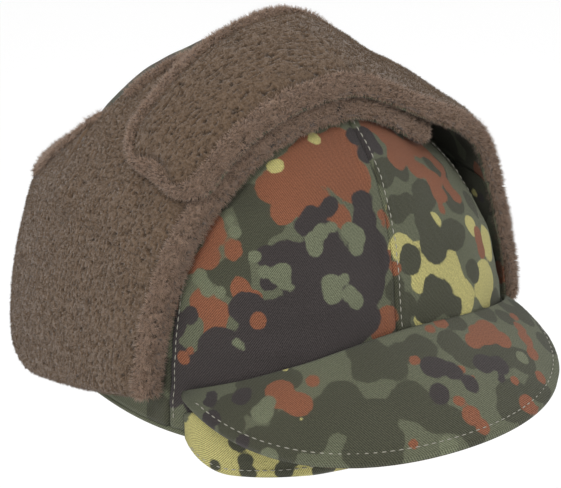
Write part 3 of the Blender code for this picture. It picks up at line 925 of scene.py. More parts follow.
def visor_middle(u, v):
    """The visor's middle surface: u runs across it, v from the crown to the outer edge."""
    share = mix(-VISOR_REACH, VISOR_REACH, u)
    turn = share * VISOR_TURN
    root = around(turn, visor_root_z(turn), VISOR_STANDOFF - VISOR_ROOT_INSET)
    point = root + (visor_edge(share) - root) * v[..., None]
    point[..., 2] += VISOR_BULGE * np.sin(np.pi * v) * (1 - share**4)
    return point


def visor_place(u, v, offset):
    """place() for the visor, at a distance from its middle surface."""
    step = 0.004
    across = visor_middle(np.minimum(u + step, 1), v) - visor_middle(np.maximum(u - step, 0), v)
    along = visor_middle(u, np.minimum(v + step, 1)) - visor_middle(u, np.maximum(v - step, 0))
    up = np.cross(along, across)
    up = up / np.linalg.norm(up, axis=-1, keepdims=True)
    up = up * np.where(up[..., 2:] < 0, -1, 1)
    return visor_middle(u, v) + up * offset[..., None]


def nearest_on(face):
    """A function that gives the point of a face nearest to an x and y."""
    return lambda x, y: face[np.argmin(np.hypot(face[:, 0] - x, face[:, 1] - y))]


def visor_depth(u):
    """The visor's depth from the crown to its edge, along v, at each u."""
    ends = visor_middle(u, 0 * u + 1.0) - visor_middle(u, 0 * u)
    return np.linalg.norm(ends, axis=-1)


def build_visor():
    """The visor's two covers with their rolled edge and topstitching."""
    grid = Grid(visor_place, *VISOR_SPAN, CLOTH_STEP)
    depth = np.maximum(visor_depth(grid.u), 4 * MM)
    from_edge = (1 - grid.v) * depth
    roundness = rounded(from_edge, VISOR_ROLL)
    points = grid.at(0.0)
    groove = VISOR_GROOVE * groove_at(from_edge, VISOR_STITCH_INSET, 0.7 * MM)
    waves = VISOR_WAVES * noise_at(points, size=(22 * MM, 14 * MM, 30 * MM), seed=5)
    waves = waves * smooth(from_edge, 0, VISOR_FADE)
    puff = VISOR_PUFF * noise_at(points, size=5 * MM, seed=6) * np.exp(-from_edge / VISOR_FADE)
    top = VISOR_HALF * roundness - groove + waves + puff * roundness
    cover = grid.slab("visor_cover_top", grid.at(VISOR_CORE), grid.at(top + VISOR_LIFT), MATERIALS["twill"])
    centre_of = nearest_on(grid.at(VISOR_HALF).reshape(-1, 3))
    print_spots(cover, VISOR_SPOTS, centre_of)
    bottom = -(VISOR_HALF * roundness - groove * 0.7 + waves * 0.5) - VISOR_LIFT
    under = grid.slab("visor_cover_under", grid.at(-VISOR_CORE), grid.at(bottom), MATERIALS["twill"])
    print_spots(under, UNDER_SPOTS, centre_of)
    stand_for(cover, "camouflage_twill", "visor_top_cover", "visor_stiffener")
    stand_for(under, "camouflage_twill", "visor_under_cover")
    u = np.linspace(0.03, 0.97, 400)
    v = 1 - VISOR_STITCH_INSET / np.maximum(visor_depth(u), 12 * MM)
    for name, offset in (("top", VISOR_HALF - 0.1 * MM), ("under", -VISOR_HALF + 0.1 * MM)):
        stitch_row("stitches_visor_" + name, visor_place, u, v, offset, offset * 1.5, pitch=3.4 * MM)


def front_flap_place(u, v, offset):
    """place() for the forehead flap, with rounded lower corners."""
    share = 2 * u - 1
    turn = share * FRONT_FLAP_TURN
    top = visor_root_z(turn) - FRONT_FLAP_DROP
    from_end = (1 - np.abs(share)) * math.radians(FRONT_FLAP_TURN) * HALF_LENGTH
    inside = np.maximum(FRONT_FLAP_CORNER - from_end, 0)
    cut = FRONT_FLAP_CORNER - np.sqrt(FRONT_FLAP_CORNER**2 - inside**2)
    return around(turn, mix(FRONT_FLAP_BOTTOM_Z + cut, top, v), offset)


def build_front_flap():
    """The forehead flap: a folded, topstitched strip of twill."""
    grid = Grid(front_flap_place, *FRONT_FLAP_SPAN, CLOTH_STEP)
    from_end = np.minimum(grid.u, 1 - grid.u) * grid.width
    from_edge = np.minimum(grid.v * grid.height, from_end)
    roundness = rounded(from_edge, FRONT_FLAP_ROLL)
    points = grid.at(2.0 * MM)
    waves = FRONT_FLAP_WAVES * noise_at(points, size=(16 * MM, 16 * MM, 12 * MM), seed=7)
    groove = FRONT_FLAP_GROOVE * groove_at(from_edge, FRONT_FLAP_STITCH_INSET, 0.6 * MM)
    outer = grid.at(FRONT_FLAP_MIDDLE + 1.2 * MM * roundness - groove + waves)
    inner = grid.at(FRONT_FLAP_MIDDLE - 1.1 * MM * roundness + waves * 0.3)
    made = grid.slab("front_flap_cloth", inner, outer, MATERIALS["twill"])
    print_spots(made, FLAP_SPOTS, lambda x, z: front_centre(x, z) + np.array((0, -3 * MM, 0)))
    stand_for(made, "camouflage_twill", "front_flap_shell", "front_flap_lining")
    u = np.linspace(0.018, 0.982, 300)
    v = FRONT_FLAP_STITCH_INSET / grid.height
    stitch_row("stitches_front_flap", front_flap_place, u, v, 3.2 * MM, 5 * MM)


# The flap band: how its lengths lie.

EAR_REAR_Y = 37 * MM
EAR_REAR_LAP = 4 * MM
LEFT_EAR_DROP = 5 * MM
LEFT_FLARE = 2.8 * MM
LEFT_FLARE_WIDTH = 30 * MM
FLARE_END = 80
LIFT_ANGLES = (20, 52)
FLARE_FADE = 25
EAR_BEND_ANGLE = 31.0
CORNER_FALL = 0.8
FRONT_EDGE_ANGLES = (32, 62)
REAR_EDGE_ANGLES = (EAR_UPPER_END - 4, 84)
TAB_ARCH_RADIUS = 118

# Its pile: how large the pits are in millimetres, how deep they are, and how the edges roll.
TAB_PIT_SIZE = (2.4, 0.75, 1.4)
SIDE_PIT_SIZE = (0.75, 0.75, 2.3)
PIT_WARP = (0.5, 0.6, 0.2)
PIT_LEVELS = (0.22, 0.62)
PIT_DEPTH = 1.35 * MM
PILE_RIPPLE = 0.2 * MM
PILE_LUMPS = 0.7 * MM
RELIEF_SINK = 0.6 * MM
EDGE_RELIEF = 0.3
# How much painted shade the groove beside a rolled edge adds to the pit share.
GROOVE_SHADE = 0.6
EDGE_HEIGHT = 0.45
BARE_EDGE_HEIGHT = 0.2
EDGE_PALENESS = 0.8
THINNING_WIDTH = 14 * MM
GROOVE_WIDTH = 1.1 * MM
GROOVE_DEPTH = 1.3 * MM
ROLL_RISE = 0.9 * MM
WRAP_WIDTHS = (1.8 * MM, 2.4 * MM)
RIM_TUFT_WIDTH = 2.6 * MM
FOLD_RADIUS = 4.5 * MM
CURL_RADIUS = 1.5 * MM
PILE_BASE = STANDOFF + SHELL_THICKNESS + LAYER_GAP

# Its tufts: how long, how dense and how combed they are.
TUFT_LENGTH = (0.7 * MM, 1.5 * MM)
TUFT_HALF_WIDTH = (0.10 * MM, 0.18 * MM)
EDGE_TUFT_GROWTH = 1.2
TUFT_CLUMP = 1.7 * MM
TUFT_SEED = 900
TUFT_DENSITY = 0.85
EDGE_DENSITY = 0.9
PIT_BARENESS = 0.9
RIM_DENSITY = 1.6
LEAN_SPREAD = 0.3
CLUMP_LEAN = 1.3
COMB_LEAN = 0.5
EDGE_STRAIGHTNESS = 0.6
TUFT_RISE = (0.35, 0.95)
TWIST_SPREAD = 0.2
PALE_EDGE_SHARE = 0.8
EDGE_TONE = len(TUFT_TONES) - 1
TUFT_TONE_SHARES = (0.45, 0.3, 0.25)
TAB_COMB = (-0.6, -0.5, -0.2)
SIDE_COMB = (0.0, 0.25, -1.0)

# Its shells, how far up from a fold bend_with measures, and the strip that joins it to the crown.
SHELL_INSET = 3.0 * MM
BARE_SHELL_INSET = 1.0 * MM
LOWER_BEND = 11 * MM
TAB_BEND = 16 * MM
JOIN_SPAN = (420 * MM, 11 * MM)
JOIN_TURN = 62.0
JOIN_RISE = 3.0 * MM
JOIN_OUT = STANDOFF - 0.9 * MM
RIM_TOP_Z = 1.5 * MM


def lift_of_left(angle):
    """How much further out the left ear flap and tab stand, to pass over the right tab."""
    return (CROSSING_STANDOFF - STANDOFF) * smooth(angle, *LIFT_ANGLES)


def band_bottom(y):
    """The height of the band's lower fold, which rises towards the temples."""
    return np.maximum(BAND_SIDE_BOTTOM_Z - BAND_SLOPE * y, BAND_BACK_BOTTOM_Z)


def corner_y(z, offset):
    """Where the ear flap meets the corner length behind it, on the wearer's right."""
    return around(-CORNER_TURNS[0] + 0 * z, z, offset)[..., 1]


def left_flare(y):
    """How much further out the left flap's front edge stands, which shows its inner cloth."""
    return LEFT_FLARE * (1 - smooth(y - BAND_FRONT_Y, 0, LEFT_FLARE_WIDTH))


def ear_place(first, last, on_left):
    """place() for a lower length of the ear flap; last None means that it meets the corner length."""

    def place(u, v, offset):
        rough_last = EAR_REAR_Y if last is None else last
        rough_y = mix(first, rough_last, u)
        bottom = band_bottom(rough_y)
        if on_left:
            bottom = bottom - LEFT_EAR_DROP * smooth(-rough_y, -EAR_SPLIT_Y, -BAND_FRONT_Y)
        z = mix(bottom, EAR_LOWER_TOP_Z + (EAR_REAR_LAP if last is None else 0), v)
        y = mix(first, corner_y(z, offset) if last is None else last, u)
        if on_left:
            angle = np.degrees(np.arcsin(np.clip(z / CROWN_HEIGHT, 0, 1)))
            offset = offset + lift_of_left(angle) + left_flare(y)
        return sided(beside(y, z, offset), on_left)

    return place


def back_top(turn):
    """The height of the band's upper edge behind the ears."""
    share = (np.abs(turn) - CORNER_TURNS[0]) / (CORNER_TURNS[1] - CORNER_TURNS[0])
    return mix(CORNER_TOP_Z, BACK_TOP_Z, np.clip(share, 0, 1) ** CORNER_FALL)


def back_place(first, last, on_left):
    """place() for a length of the band behind the ear, between two turns."""

    def place(u, v, offset):
        turn = -mix(first, last, u)
        z = mix(BAND_BACK_BOTTOM_Z, back_top(turn), v)
        if on_left:
            angle = np.degrees(np.arcsin(np.clip(z / CROWN_HEIGHT, 0, 1)))
            fade = 1 - smooth(np.abs(turn), CORNER_TURNS[0], CORNER_TURNS[1])
            offset = offset + lift_of_left(angle) * fade
        return sided(around(turn, z, offset), on_left)

    return place


def tab_front_y(angle):
    """The front edge of the ear flap's upper part and of the tab."""
    return mix(BAND_FRONT_Y, TAB_FRONT_Y, smooth(angle, *FRONT_EDGE_ANGLES))


def tab_rear_y(angle, offset):
    """The rear edge: at first where the corner length starts, then forward to the tab's own."""
    level = np.cos(np.radians(np.minimum(angle, EAR_UPPER_END)))
    x, y = plan(CORNER_TURNS[0])
    k = level / x
    for _ in range(4):
        k = level / x * (1 - (y * k) ** PLAN_POWER) ** (1 / PLAN_POWER)
    corner = (HALF_LENGTH + offset) * y * k
    return mix(corner, TAB_REAR_Y, smooth(angle, *REAR_EDGE_ANGLES))


def upper_start(y, offset):
    """The angle over the crown at which the upper part of the ear flap starts."""
    side = beside(y, EAR_LOWER_TOP_Z + 0 * y, offset)
    share = np.abs(y / (HALF_LENGTH + offset)) ** PLAN_POWER
    reach = (HALF_WIDTH + offset) * (1 - share) ** (1 / PLAN_POWER)
    return np.degrees(np.arccos(np.clip(-side[..., 0] / reach, -1, 1)))


def tab_place(start, end, on_left, round_end):
    """place() for a length of tab between two angles; start None means the ear's bend."""

    def place(u, v, offset):
        rough = mix(EAR_BEND_ANGLE if start is None else start, end, v)
        if on_left:
            offset = offset + lift_of_left(rough)
        front = tab_front_y(rough)
        rear = tab_rear_y(rough, offset)
        if round_end:
            from_end = np.radians(end - rough) * CROWN_HEIGHT
            inside = np.maximum(TAB_CORNER - from_end, 0)
            cut = TAB_CORNER - np.sqrt(np.maximum(TAB_CORNER**2 - inside**2, 0))
            front = front + cut
            rear = rear - cut
        y = mix(front, rear, u)
        if on_left:
            offset = offset + left_flare(y) * (1 - smooth(rough, FLARE_END - FLARE_FADE, FLARE_END))
        first = upper_start(y, offset) if start is None else start
        return sided(over(mix(first, end, v), y, offset), on_left)

    return place


def band_lengths():
    """Every length of the band: its body, place(), width and height in millimetres, and free edges."""
    found = []
    for side, on_left in (("right", False), ("left", True)):
        ear = [
            ("front", BAND_FRONT_Y, EAR_SPLIT_Y, 42, 61, "front bottom"),
            ("rear", EAR_SPLIT_Y, None, 46, 76, "bottom"),
        ]
        for part, first, last, width, height, free in ear:
            place = ear_place(first, last, on_left)
            found.append((f"ear_flap_{side}_{part}", place, width, height, free))
        names = ["corner_flap_{}_front", "corner_flap_{}_rear", "neck_flap_{}"]
        bounds = [*CORNER_TURNS, 180]
        sizes = [(36, 100), (32, 80), (50, 80)]
        for name, first, last, (width, height) in zip(names, bounds, bounds[1:], sizes):
            found.append((name.format(side), back_place(first, last, on_left), width, height, "bottom top"))
        upper = tab_place(None, EAR_UPPER_END, on_left, False)
        found.append((f"ear_flap_{side}_upper", upper, 80, 46, "front"))
        start = EAR_UPPER_END
        ends = LEFT_TAB_ENDS if on_left else RIGHT_TAB_ENDS
        for number, end in enumerate(ends, 1):
            last = number == len(ends)
            name = f"tab_{side}_end" if last else f"tab_{side}_{number}"
            height = math.radians(end - start) * TAB_ARCH_RADIUS
            free = "front rear top" if last else "front rear"
            found.append((name, tab_place(start, end, on_left, last), 60, height, free))
            start = end
    return found


def edge_distance(grid, points, free):
    """Each grid point's distance to the nearest free edge; the lower fold doesn't count."""
    steps_u = np.linalg.norm(np.diff(points, axis=1), axis=-1)
    steps_v = np.linalg.norm(np.diff(points, axis=0), axis=-1)
    run_u = np.concatenate([np.zeros((grid.rows + 1, 1)), np.cumsum(steps_u, axis=1)], axis=1)
    run_v = np.concatenate([np.zeros((1, grid.columns + 1)), np.cumsum(steps_v, axis=0)], axis=0)
    found = np.full(points.shape[:2], FAR)
    if "front" in free:
        found = np.minimum(found, run_u)
    if "rear" in free:
        found = np.minimum(found, run_u[:, -1:] - run_u)
    if "top" in free:
        found = np.minimum(found, run_v[-1:, :] - run_v)
    bottom = run_v if "bottom" in free else np.full(points.shape[:2], FAR)
    return found, bottom


def shows_cloth(name):
    """Whether a length's pile stops short of its edge, so that the cloth behind it shows."""
    return name.startswith(("ear_flap_left", "tab_left", "tab_right_end"))


def pile_relief(points, over_top):
    """Small combed pits, curls and broad lumps; returns the relief and the share of pit."""
    stretch = TAB_PIT_SIZE if over_top else SIDE_PIT_SIZE
    size = np.array(stretch) * MM
    warp = noise_at(points, size=5 * MM, seed=11)[..., None] * MM
    bent = points + warp * np.array(PIT_WARP)
    first = noise_at(bent, size, seed=12)
    second = noise_at(bent, size * 1.9, seed=13)
    pits = smooth(-(first + 0.45 * second), *PIT_LEVELS)
    lumps = noise_at(points, size=14 * MM, seed=14)
    relief = -PIT_DEPTH * pits + PILE_RIPPLE * first + PILE_RIPPLE * second + PILE_LUMPS * lumps
    return relief, pits


def build_pile(name, place, width, height, free, number):
    """The pile of one length: a dense mesh with rolled edges and pits, and its tufts."""
    over_top = name.startswith("tab")
    thick = TAB_PILE_THICKNESS if over_top or name.endswith("upper") else PILE_THICKNESS
    grid = Grid(place, width * MM, height * MM, PILE_STEP)
    points = grid.at(PILE_BASE + thick)
    distance, from_fold = edge_distance(grid, points, free)
    bare = shows_cloth(name)
    radius = BARE_ROLL_RADIUS if bare else min(ROLL_RADIUS, thick * 0.6)
    roundness = np.minimum(rounded(distance, radius), rounded(from_fold, FOLD_RADIUS))
    relief, pits = pile_relief(points, over_top)
    groove = groove_at(distance, ROLL_WIDTH, GROOVE_WIDTH)
    raised = smooth(distance, 0, 2 * MM)
    raised = raised * (1 - smooth(distance, ROLL_WIDTH - 2.5 * MM, ROLL_WIDTH - 0.5 * MM))
    if name.endswith("upper"):
        thick = mix(PILE_THICKNESS, TAB_PILE_THICKNESS, smooth(grid.v, 0, 1))
        points = grid.at(PILE_BASE + thick)
    middle = (BARE_EDGE_HEIGHT if bare else EDGE_HEIGHT) * thick
    if bare:
        roundness = roundness * mix(BARE_EDGE_THINNESS, 1, smooth(distance, 0, THINNING_WIDTH))
    top = (thick - middle) * roundness + (relief - RELIEF_SINK) * mix(EDGE_RELIEF, 1, roundness)
    broken = 0.5 + 0.5 * noise_at(points, size=9 * MM, seed=15)
    top = top - GROOVE_DEPTH * groove * broken + ROLL_RISE * raised
    outer = grid.at(PILE_BASE + middle + top)
    wrapped = PILE_BASE if bare else STANDOFF
    back = mix(wrapped, PILE_BASE, smooth(distance, *WRAP_WIDTHS))
    curl = rounded(distance, CURL_RADIUS)
    inner = grid.at(PILE_BASE + middle - (PILE_BASE + middle - back) * curl)
    made = grid.slab(name + "_pile_cloth", inner, outer, MATERIALS["pile"])
    edge = 1 - smooth(distance, ROLL_WIDTH - 2 * MM, ROLL_WIDTH + 1 * MM)
    # The pit share is painted shade in the material: the pits and the groove come out darker.
    pit = np.clip(pits + GROOVE_SHADE * groove * broken, 0, 1)
    add_values(made, "pit", np.tile(pit.ravel(), 2))
    add_values(made, "edge", np.tile((edge * EDGE_PALENESS).ravel(), 2))
    rim = (distance < RIM_TUFT_WIDTH).astype(float)
    tufts = build_tufts(name + "_tufts", outer, inner, edge, pit, rim, over_top, number)
    return made, tufts


def grid_normals(points, inner):
    """The outward normal at each grid point."""
    along_u = np.gradient(points, axis=1)
    along_v = np.gradient(points, axis=0)
    found = np.cross(along_u, along_v)
    found = found / np.maximum(np.linalg.norm(found, axis=-1, keepdims=True), NO_AREA)
    rows, columns = points.shape[:2]
    middle = (rows // 2, columns // 2)
    if np.dot(found[middle], points[middle] - inner[middle]) < 0:
        found = -found
    return found


def tuft_roots(random, surface, other, density):
    """Random roots on a grid of points, more of them where density says; other is the far face."""
    normals = grid_normals(surface, other)
    spans_u = surface[:-1, 1:] - surface[:-1, :-1]
    spans_v = surface[1:, :-1] - surface[:-1, :-1]
    areas = np.linalg.norm(np.cross(spans_u, spans_v), axis=-1) / MM**2
    weight = areas * density[:-1, :-1]
    count = int(weight.sum() * TUFTS_PER_MM2)
    chosen = random.choice(weight.size, count, p=weight.ravel() / weight.sum())
    j, i = np.unravel_index(chosen, weight.shape)
    a = random.random((count, 1))
    b = random.random((count, 1))
    step_u = surface[j, i + 1] - surface[j, i]
    step_v = surface[j + 1, i] - surface[j, i]
    return surface[j, i] + step_u * a + step_v * b, normals[j, i], j, i


def build_tufts(name, outer, inner, edge, pit, rim, over_top, number):
    """Thousands of small tapering tufts, over the face of the pile and round its free edges."""
    random = np.random.default_rng(TUFT_SEED + number)
    face_density = (TUFT_DENSITY + EDGE_DENSITY * edge) * (1 - PIT_BARENESS * pit)
    roots, up, j, i = tuft_roots(random, outer, inner, face_density)
    on_edge = edge[j, i][:, None]
    if rim.max() > 0:
        behind, behind_up, _, _ = tuft_roots(random, inner, outer, rim * RIM_DENSITY)
        roots = np.concatenate([roots, behind])
        up = np.concatenate([up, behind_up])
        on_edge = np.concatenate([on_edge, np.ones((len(behind), 1))])
    count = len(roots)
    comb = np.array(TAB_COMB if over_top else SIDE_COMB)
    clumps = [noise_at(roots, TUFT_CLUMP, seed) for seed in (31, 32, 33)]
    lean = random.normal(0, LEAN_SPREAD, (count, 3)) + CLUMP_LEAN * np.stack(clumps, axis=-1)
    lean = lean + comb * COMB_LEAN * (1 - EDGE_STRAIGHTNESS * on_edge)
    lean = lean - up * (lean * up).sum(axis=1, keepdims=True)
    length = random.uniform(*TUFT_LENGTH, (count, 1)) * (1 + EDGE_TUFT_GROWTH * on_edge)
    width = random.uniform(*TUFT_HALF_WIDTH, (count, 1))
    direction = up * random.uniform(*TUFT_RISE, (count, 1)) + lean
    direction = direction / np.linalg.norm(direction, axis=1, keepdims=True)
    side = np.cross(direction, up + random.normal(0, TWIST_SPREAD, (count, 3)))
    side = side / np.maximum(np.linalg.norm(side, axis=1, keepdims=True), TINY)
    third = np.cross(direction, side)
    foot = roots - up * 0.3 * MM
    tip = roots + direction * length
    half = side * 0.5 * width
    feet = [foot + side * width, foot - half + third * width, foot - half - third * width]
    verts = np.concatenate([*feet, tip])
    k = np.arange(count)
    p, q, r, t = k, k + count, k + 2 * count, k + 3 * count
    sides = ((p, q, t), (q, r, t), (r, p, t), (p, r, q))
    made = mesh_object(name, verts, np.concatenate([np.stack(side, 1) for side in sides]), None)
    for tone in MATERIALS["tufts"]:
        made.data.materials.append(tone)
    tones = random.choice(len(TUFT_TONE_SHARES), count, p=TUFT_TONE_SHARES)
    tones = np.where(random.random(count) < PALE_EDGE_SHARE * on_edge[:, 0], EDGE_TONE, tones)
    made.data.polygons.foreach_set("material_index", np.tile(tones, 4).astype(np.int32))
    return made


def build_shell(name, place, width, height, free, number):
    """The camouflage side of one length, which shows when the band is folded down."""
    inset = BARE_SHELL_INSET if shows_cloth(name) else SHELL_INSET

    def inset_place(u, v, offset):
        low_u = inset / (width * MM) if "front" in free else 0
        high_u = 1 - inset / (width * MM) if "rear" in free else 1
        high_v = 1 - inset / (height * MM) if "top" in free else 1
        return place(mix(low_u, high_u, u), mix(0, high_v, v), offset)

    grid = Grid(inset_place, width * MM, height * MM, SHELL_STEP)
    points = grid.at(STANDOFF)
    waves = 0.35 * MM * noise_at(points, size=12 * MM, seed=21)
    inner = grid.at(STANDOFF - 0.2 * MM + waves)
    outer = grid.at(STANDOFF + SHELL_THICKNESS)
    made = grid.slab(name + "_shell_cloth", outer, inner, MATERIALS["twill"])
    print_scattered(made, seed=200 + number)
    return made


def bend_with(piece, name, place, height):
    """Finds the way across its joint's axis at the fold, unused, and bakes the piece's transform."""
    joint = BAND_JOINTS[name]
    reach = LOWER_BEND if joint["parent"] == "crown" else TAB_BEND
    middle = np.full(2, 0.5)
    foot, top = place(middle, np.array((0.0, reach / (height * MM))), np.full(2, PILE_BASE))
    axis = np.array(joint["axis"])
    axis = axis / np.linalg.norm(axis)
    way = top - foot
    way = way - axis * np.dot(way, axis)
    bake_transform(piece)


def build_band():
    """Every length of the band: its pile, tufts and shell, with the CAD's pile and shell hidden."""
    for number, (name, place, width, height, free) in enumerate(band_lengths()):
        pile, tufts = build_pile(name, place, width, height, free, number)
        shell = build_shell(name, place, width, height, free, number)
        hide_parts(name + "_pile")
        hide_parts(name + "_shell")
        for piece in (pile, tufts, shell):
            bend_with(piece, name, place, height)


def join_place(u, v, offset):
    """place() for the cloth that runs from the crown's rim down to the band's fold, round the back."""
    turn = mix(-JOIN_TURN, -360 + JOIN_TURN, u)
    side = around(turn, 0 * turn, 0.0)[..., 1]
    bottom = band_bottom(side)
    top = np.maximum(bottom + JOIN_RISE, RIM_TOP_Z)
    return settle(around(turn, mix(bottom, top, v), offset + JOIN_OUT * (1 - v)))


def build_join():
    """The strip of twill that sews the band to the crown."""
    grid = Grid(join_place, *JOIN_SPAN, CLOTH_STEP)
    made = grid.slab("band_join_cloth", grid.at(0.3 * MM), grid.at(0.8 * MM), MATERIALS["twill"])
    print_scattered(made, seed=77)
    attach(made, "crown")


# The inside of the crown, its hem and its top patch.

LINING_LAYER = (-6.3 * MM, -5.3 * MM)
LINING_RIM = 1.5
LINING_STEP = 1.6 * MM
LINING_SPAN = 340 * MM
QUILT_PITCH = 0.2
QUILT_PUFF = 0.55 * MM
QUILT_LINES = 6
QUILT_REACH = 1.88
SWEATBAND_LAYER = (-8.2 * MM, -7.1 * MM)
SWEATBAND_HEIGHTS = (2.7 * MM, 30 * MM)
HEM_HEIGHTS = (0, 2.5 * MM)
HEM_FOLD = 1.0 * MM
PATCH_SPAN = 25 * MM
LABEL_LAYER = (-10.0 * MM, -9.4 * MM)
LABEL_TURNS = (170, 190)
LABEL_HEIGHTS = (6 * MM, 26 * MM)
RING_LENGTH = 570 * MM


def cap_point(across, along, rim, offset):
    """The dome as a unit disc round its pole: the point that far across and along it."""
    turn = np.degrees(np.arctan2(across, along))
    return settle(dome(turn, mix(90, rim, np.hypot(across, along)), offset))


def on_disc(u, v):
    """Where the points of a unit square lie on the unit disc."""
    a = 2 * u - 1
    b = 2 * v - 1
    return a * np.sqrt(1 - b * b / 2), b * np.sqrt(1 - a * a / 2)


def cap_place(rim):
    """place() for the top of the crown, down to a latitude."""
    return lambda u, v, offset: cap_point(*on_disc(u, v), rim, offset)


def ring_place(turns, heights):
    """place() for a strip round the crown between two turns and two heights."""
    return lambda u, v, offset: settle(around(mix(*turns, u), mix(*heights, v), offset))


def build_lining():
    """The quilted lining, puffed between two sets of crossing stitch lines."""
    grid = Grid(cap_place(LINING_RIM), LINING_SPAN, LINING_SPAN, LINING_STEP)
    across, along = on_disc(grid.u, grid.v)
    first = np.abs(np.sin(np.pi * (across + along) / QUILT_PITCH))
    second = np.abs(np.sin(np.pi * (across - along) / QUILT_PITCH))
    puff = QUILT_PUFF * np.sqrt(first * second)
    low, high = LINING_LAYER
    creases = 0.2 * MM * noise_at(grid.at(low), size=12 * MM, seed=51)
    inner = grid.at(low + QUILT_PUFF / 2 - puff + creases)
    made = grid.slab("crown_lining_cloth", inner, grid.at(high), MATERIALS["lining"])
    stand_for(made, "quilted_lining", "crown_lining")
    for way in (1, -1):
        side = "right" if way > 0 else "left"
        for number in range(-QUILT_LINES, QUILT_LINES + 1):
            middle = number * QUILT_PITCH
            reach = math.sqrt(QUILT_REACH - middle**2)
            t = np.linspace(-reach, reach, 200)
            a = (middle + t) / 2
            b = way * (middle - t) / 2
            line = cap_point(a, b, LINING_RIM, low + QUILT_PUFF / 2)
            down = cap_point(a, b, LINING_RIM, low - 1 * MM) - line
            name = f"stitches_quilting_{side}_{number + QUILT_LINES + 1}"
            stitches(name, line, down, pitch=4.4 * MM, length=3 * MM)


def build_hem_and_sweatband():
    """The twill hem round the head opening, and the sweatband sewn in above it."""
    whole = (-180, 180)
    hem = Grid(ring_place(whole, HEM_HEIGHTS), RING_LENGTH, HEM_HEIGHTS[1], 0.4 * MM)
    fold = HEM_FOLD * (1 - rounded(np.minimum(hem.v, 1 - hem.v) * hem.height, hem.height / 2))
    inner = hem.at(LINING_LAYER[0] + fold)
    made = hem.slab("rim_hem_cloth", inner, hem.at(-fold), MATERIALS["twill"])
    print_scattered(made, seed=91)
    stand_for(made, "camouflage_twill", "rim_hem")
    height = SWEATBAND_HEIGHTS[1] - SWEATBAND_HEIGHTS[0]
    band = Grid(ring_place(whole, SWEATBAND_HEIGHTS), RING_LENGTH, height, CLOTH_STEP)
    edge = rounded(np.minimum(band.v, 1 - band.v) * height, 1.5 * MM)
    low, high = SWEATBAND_LAYER
    waves = 0.35 * MM * noise_at(band.at(low), size=(14 * MM, 14 * MM, 20 * MM), seed=52)
    inner = band.at(mix((low + high) / 2, low, edge) + waves * edge)
    made = band.slab("sweatband_cloth_ring", inner, band.at(high), MATERIALS["sweatband"])
    stand_for(made, "sweatband_cloth", "sweatband")
    u = np.linspace(0.002, 0.998, 500)
    for row, v in (("lower", 0.12), ("upper", 0.9)):
        stitch_row(f"stitches_sweatband_{row}", band.place, u, v, low, low - INNER_STITCH_REACH)


def build_top_patch():
    """The round patch of twill that closes the crown where its panels meet."""
    grid = Grid(cap_place(TOP_LATITUDE + 0.5), PATCH_SPAN, PATCH_SPAN, 0.5 * MM)
    from_rim = (1 - np.hypot(*on_disc(grid.u, grid.v))) * PATCH_SPAN / 2
    creases = 0.2 * MM * noise_at(grid.at(0.0), size=5 * MM, seed=53)
    outer = grid.at(-SEAM_DIP * (1 - rounded(from_rim, SEAM_WIDTH)) + creases)
    made = grid.slab("top_patch_cloth", grid.at(-1.7 * MM), outer, MATERIALS["twill"])
    print_scattered(made, seed=92)
    stand_for(made, "camouflage_twill", "crown_top_patch")


def build_label():
    """The blank size label on the back of the sweatband, stitched down at both ends."""
    height = LABEL_HEIGHTS[1] - LABEL_HEIGHTS[0]
    width = math.radians(LABEL_TURNS[1] - LABEL_TURNS[0]) * HALF_LENGTH
    grid = Grid(ring_place(LABEL_TURNS, LABEL_HEIGHTS), width, height, 0.6 * MM)
    low, high = LABEL_LAYER
    from_end = np.minimum(grid.u, 1 - grid.u) * width
    from_edge = np.minimum(np.minimum(grid.v, 1 - grid.v) * height, from_end)
    edge = rounded(from_edge, 0.8 * MM)
    creases = 0.25 * MM * noise_at(grid.at(low), size=7 * MM, seed=54)
    inner = grid.at(mix((low + high) / 2, low, edge) + creases)
    made = grid.slab("size_label_cloth", inner, grid.at(high + creases), MATERIALS["label"])
    stand_for(made, "label_cloth", "size_label")
    v = np.linspace(0.05, 0.95, 40)
    look = {"pitch": 2.2 * MM, "length": 1.4 * MM}
    for end, u in (("first", 0.07), ("second", 0.93)):
        stitch_row(f"stitches_label_{end}", grid.place, u, v, low, low - INNER_STITCH_REACH, **look)


# The hook tape under the end of the left tab.

HOOK_LAYER = (9.1 * MM, 9.7 * MM)
HOOK_ANGLES = (LEFT_TAB_ENDS[-2] + 2, LEFT_TAB_ENDS[-1] - 3)
HOOK_YS = (TAB_FRONT_Y + TAB_CORNER, TAB_REAR_Y - TAB_CORNER)
HOOK_PITCH = 1.4 * MM
HOOK_RISE = 0.35 * MM


def hook_place(u, v, offset):
    """place() for the hook tape under the end of the left tab."""
    return sided(over(mix(*HOOK_ANGLES, v), mix(*HOOK_YS, u), offset), True)


def build_hook_tape():
    """The hook tape: rows of small hooks on a woven strip."""
    width = HOOK_YS[1] - HOOK_YS[0]
    height = math.radians(HOOK_ANGLES[1] - HOOK_ANGLES[0]) * CROWN_HEIGHT
    grid = Grid(hook_place, width, height, 0.3 * MM)
    across = np.sin(np.pi * grid.u * width / HOOK_PITCH)
    along = np.sin(np.pi * grid.v * height / HOOK_PITCH)
    low, high = HOOK_LAYER
    hooks = grid.at(low + HOOK_RISE * (1 - (across * along) ** 2))
    made = grid.slab("hook_tape_strip", hooks, grid.at(high), MATERIALS["hook_tape"])
    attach(made, "tab_left_end")
    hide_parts("hook_tape")


# What stays as the CAD has it, with a better material.


def dress_cad():
    """Gives the wadding, which lies hidden between the crown's cloth and its lining, its own finish."""
    node = frame["nodes"]["crown_wadding"]
    node.data.materials.clear()
    node.data.materials.append(MATERIALS["wadding"])


# The room: its floor, its lights (each a place, a size and a power) and its camera.

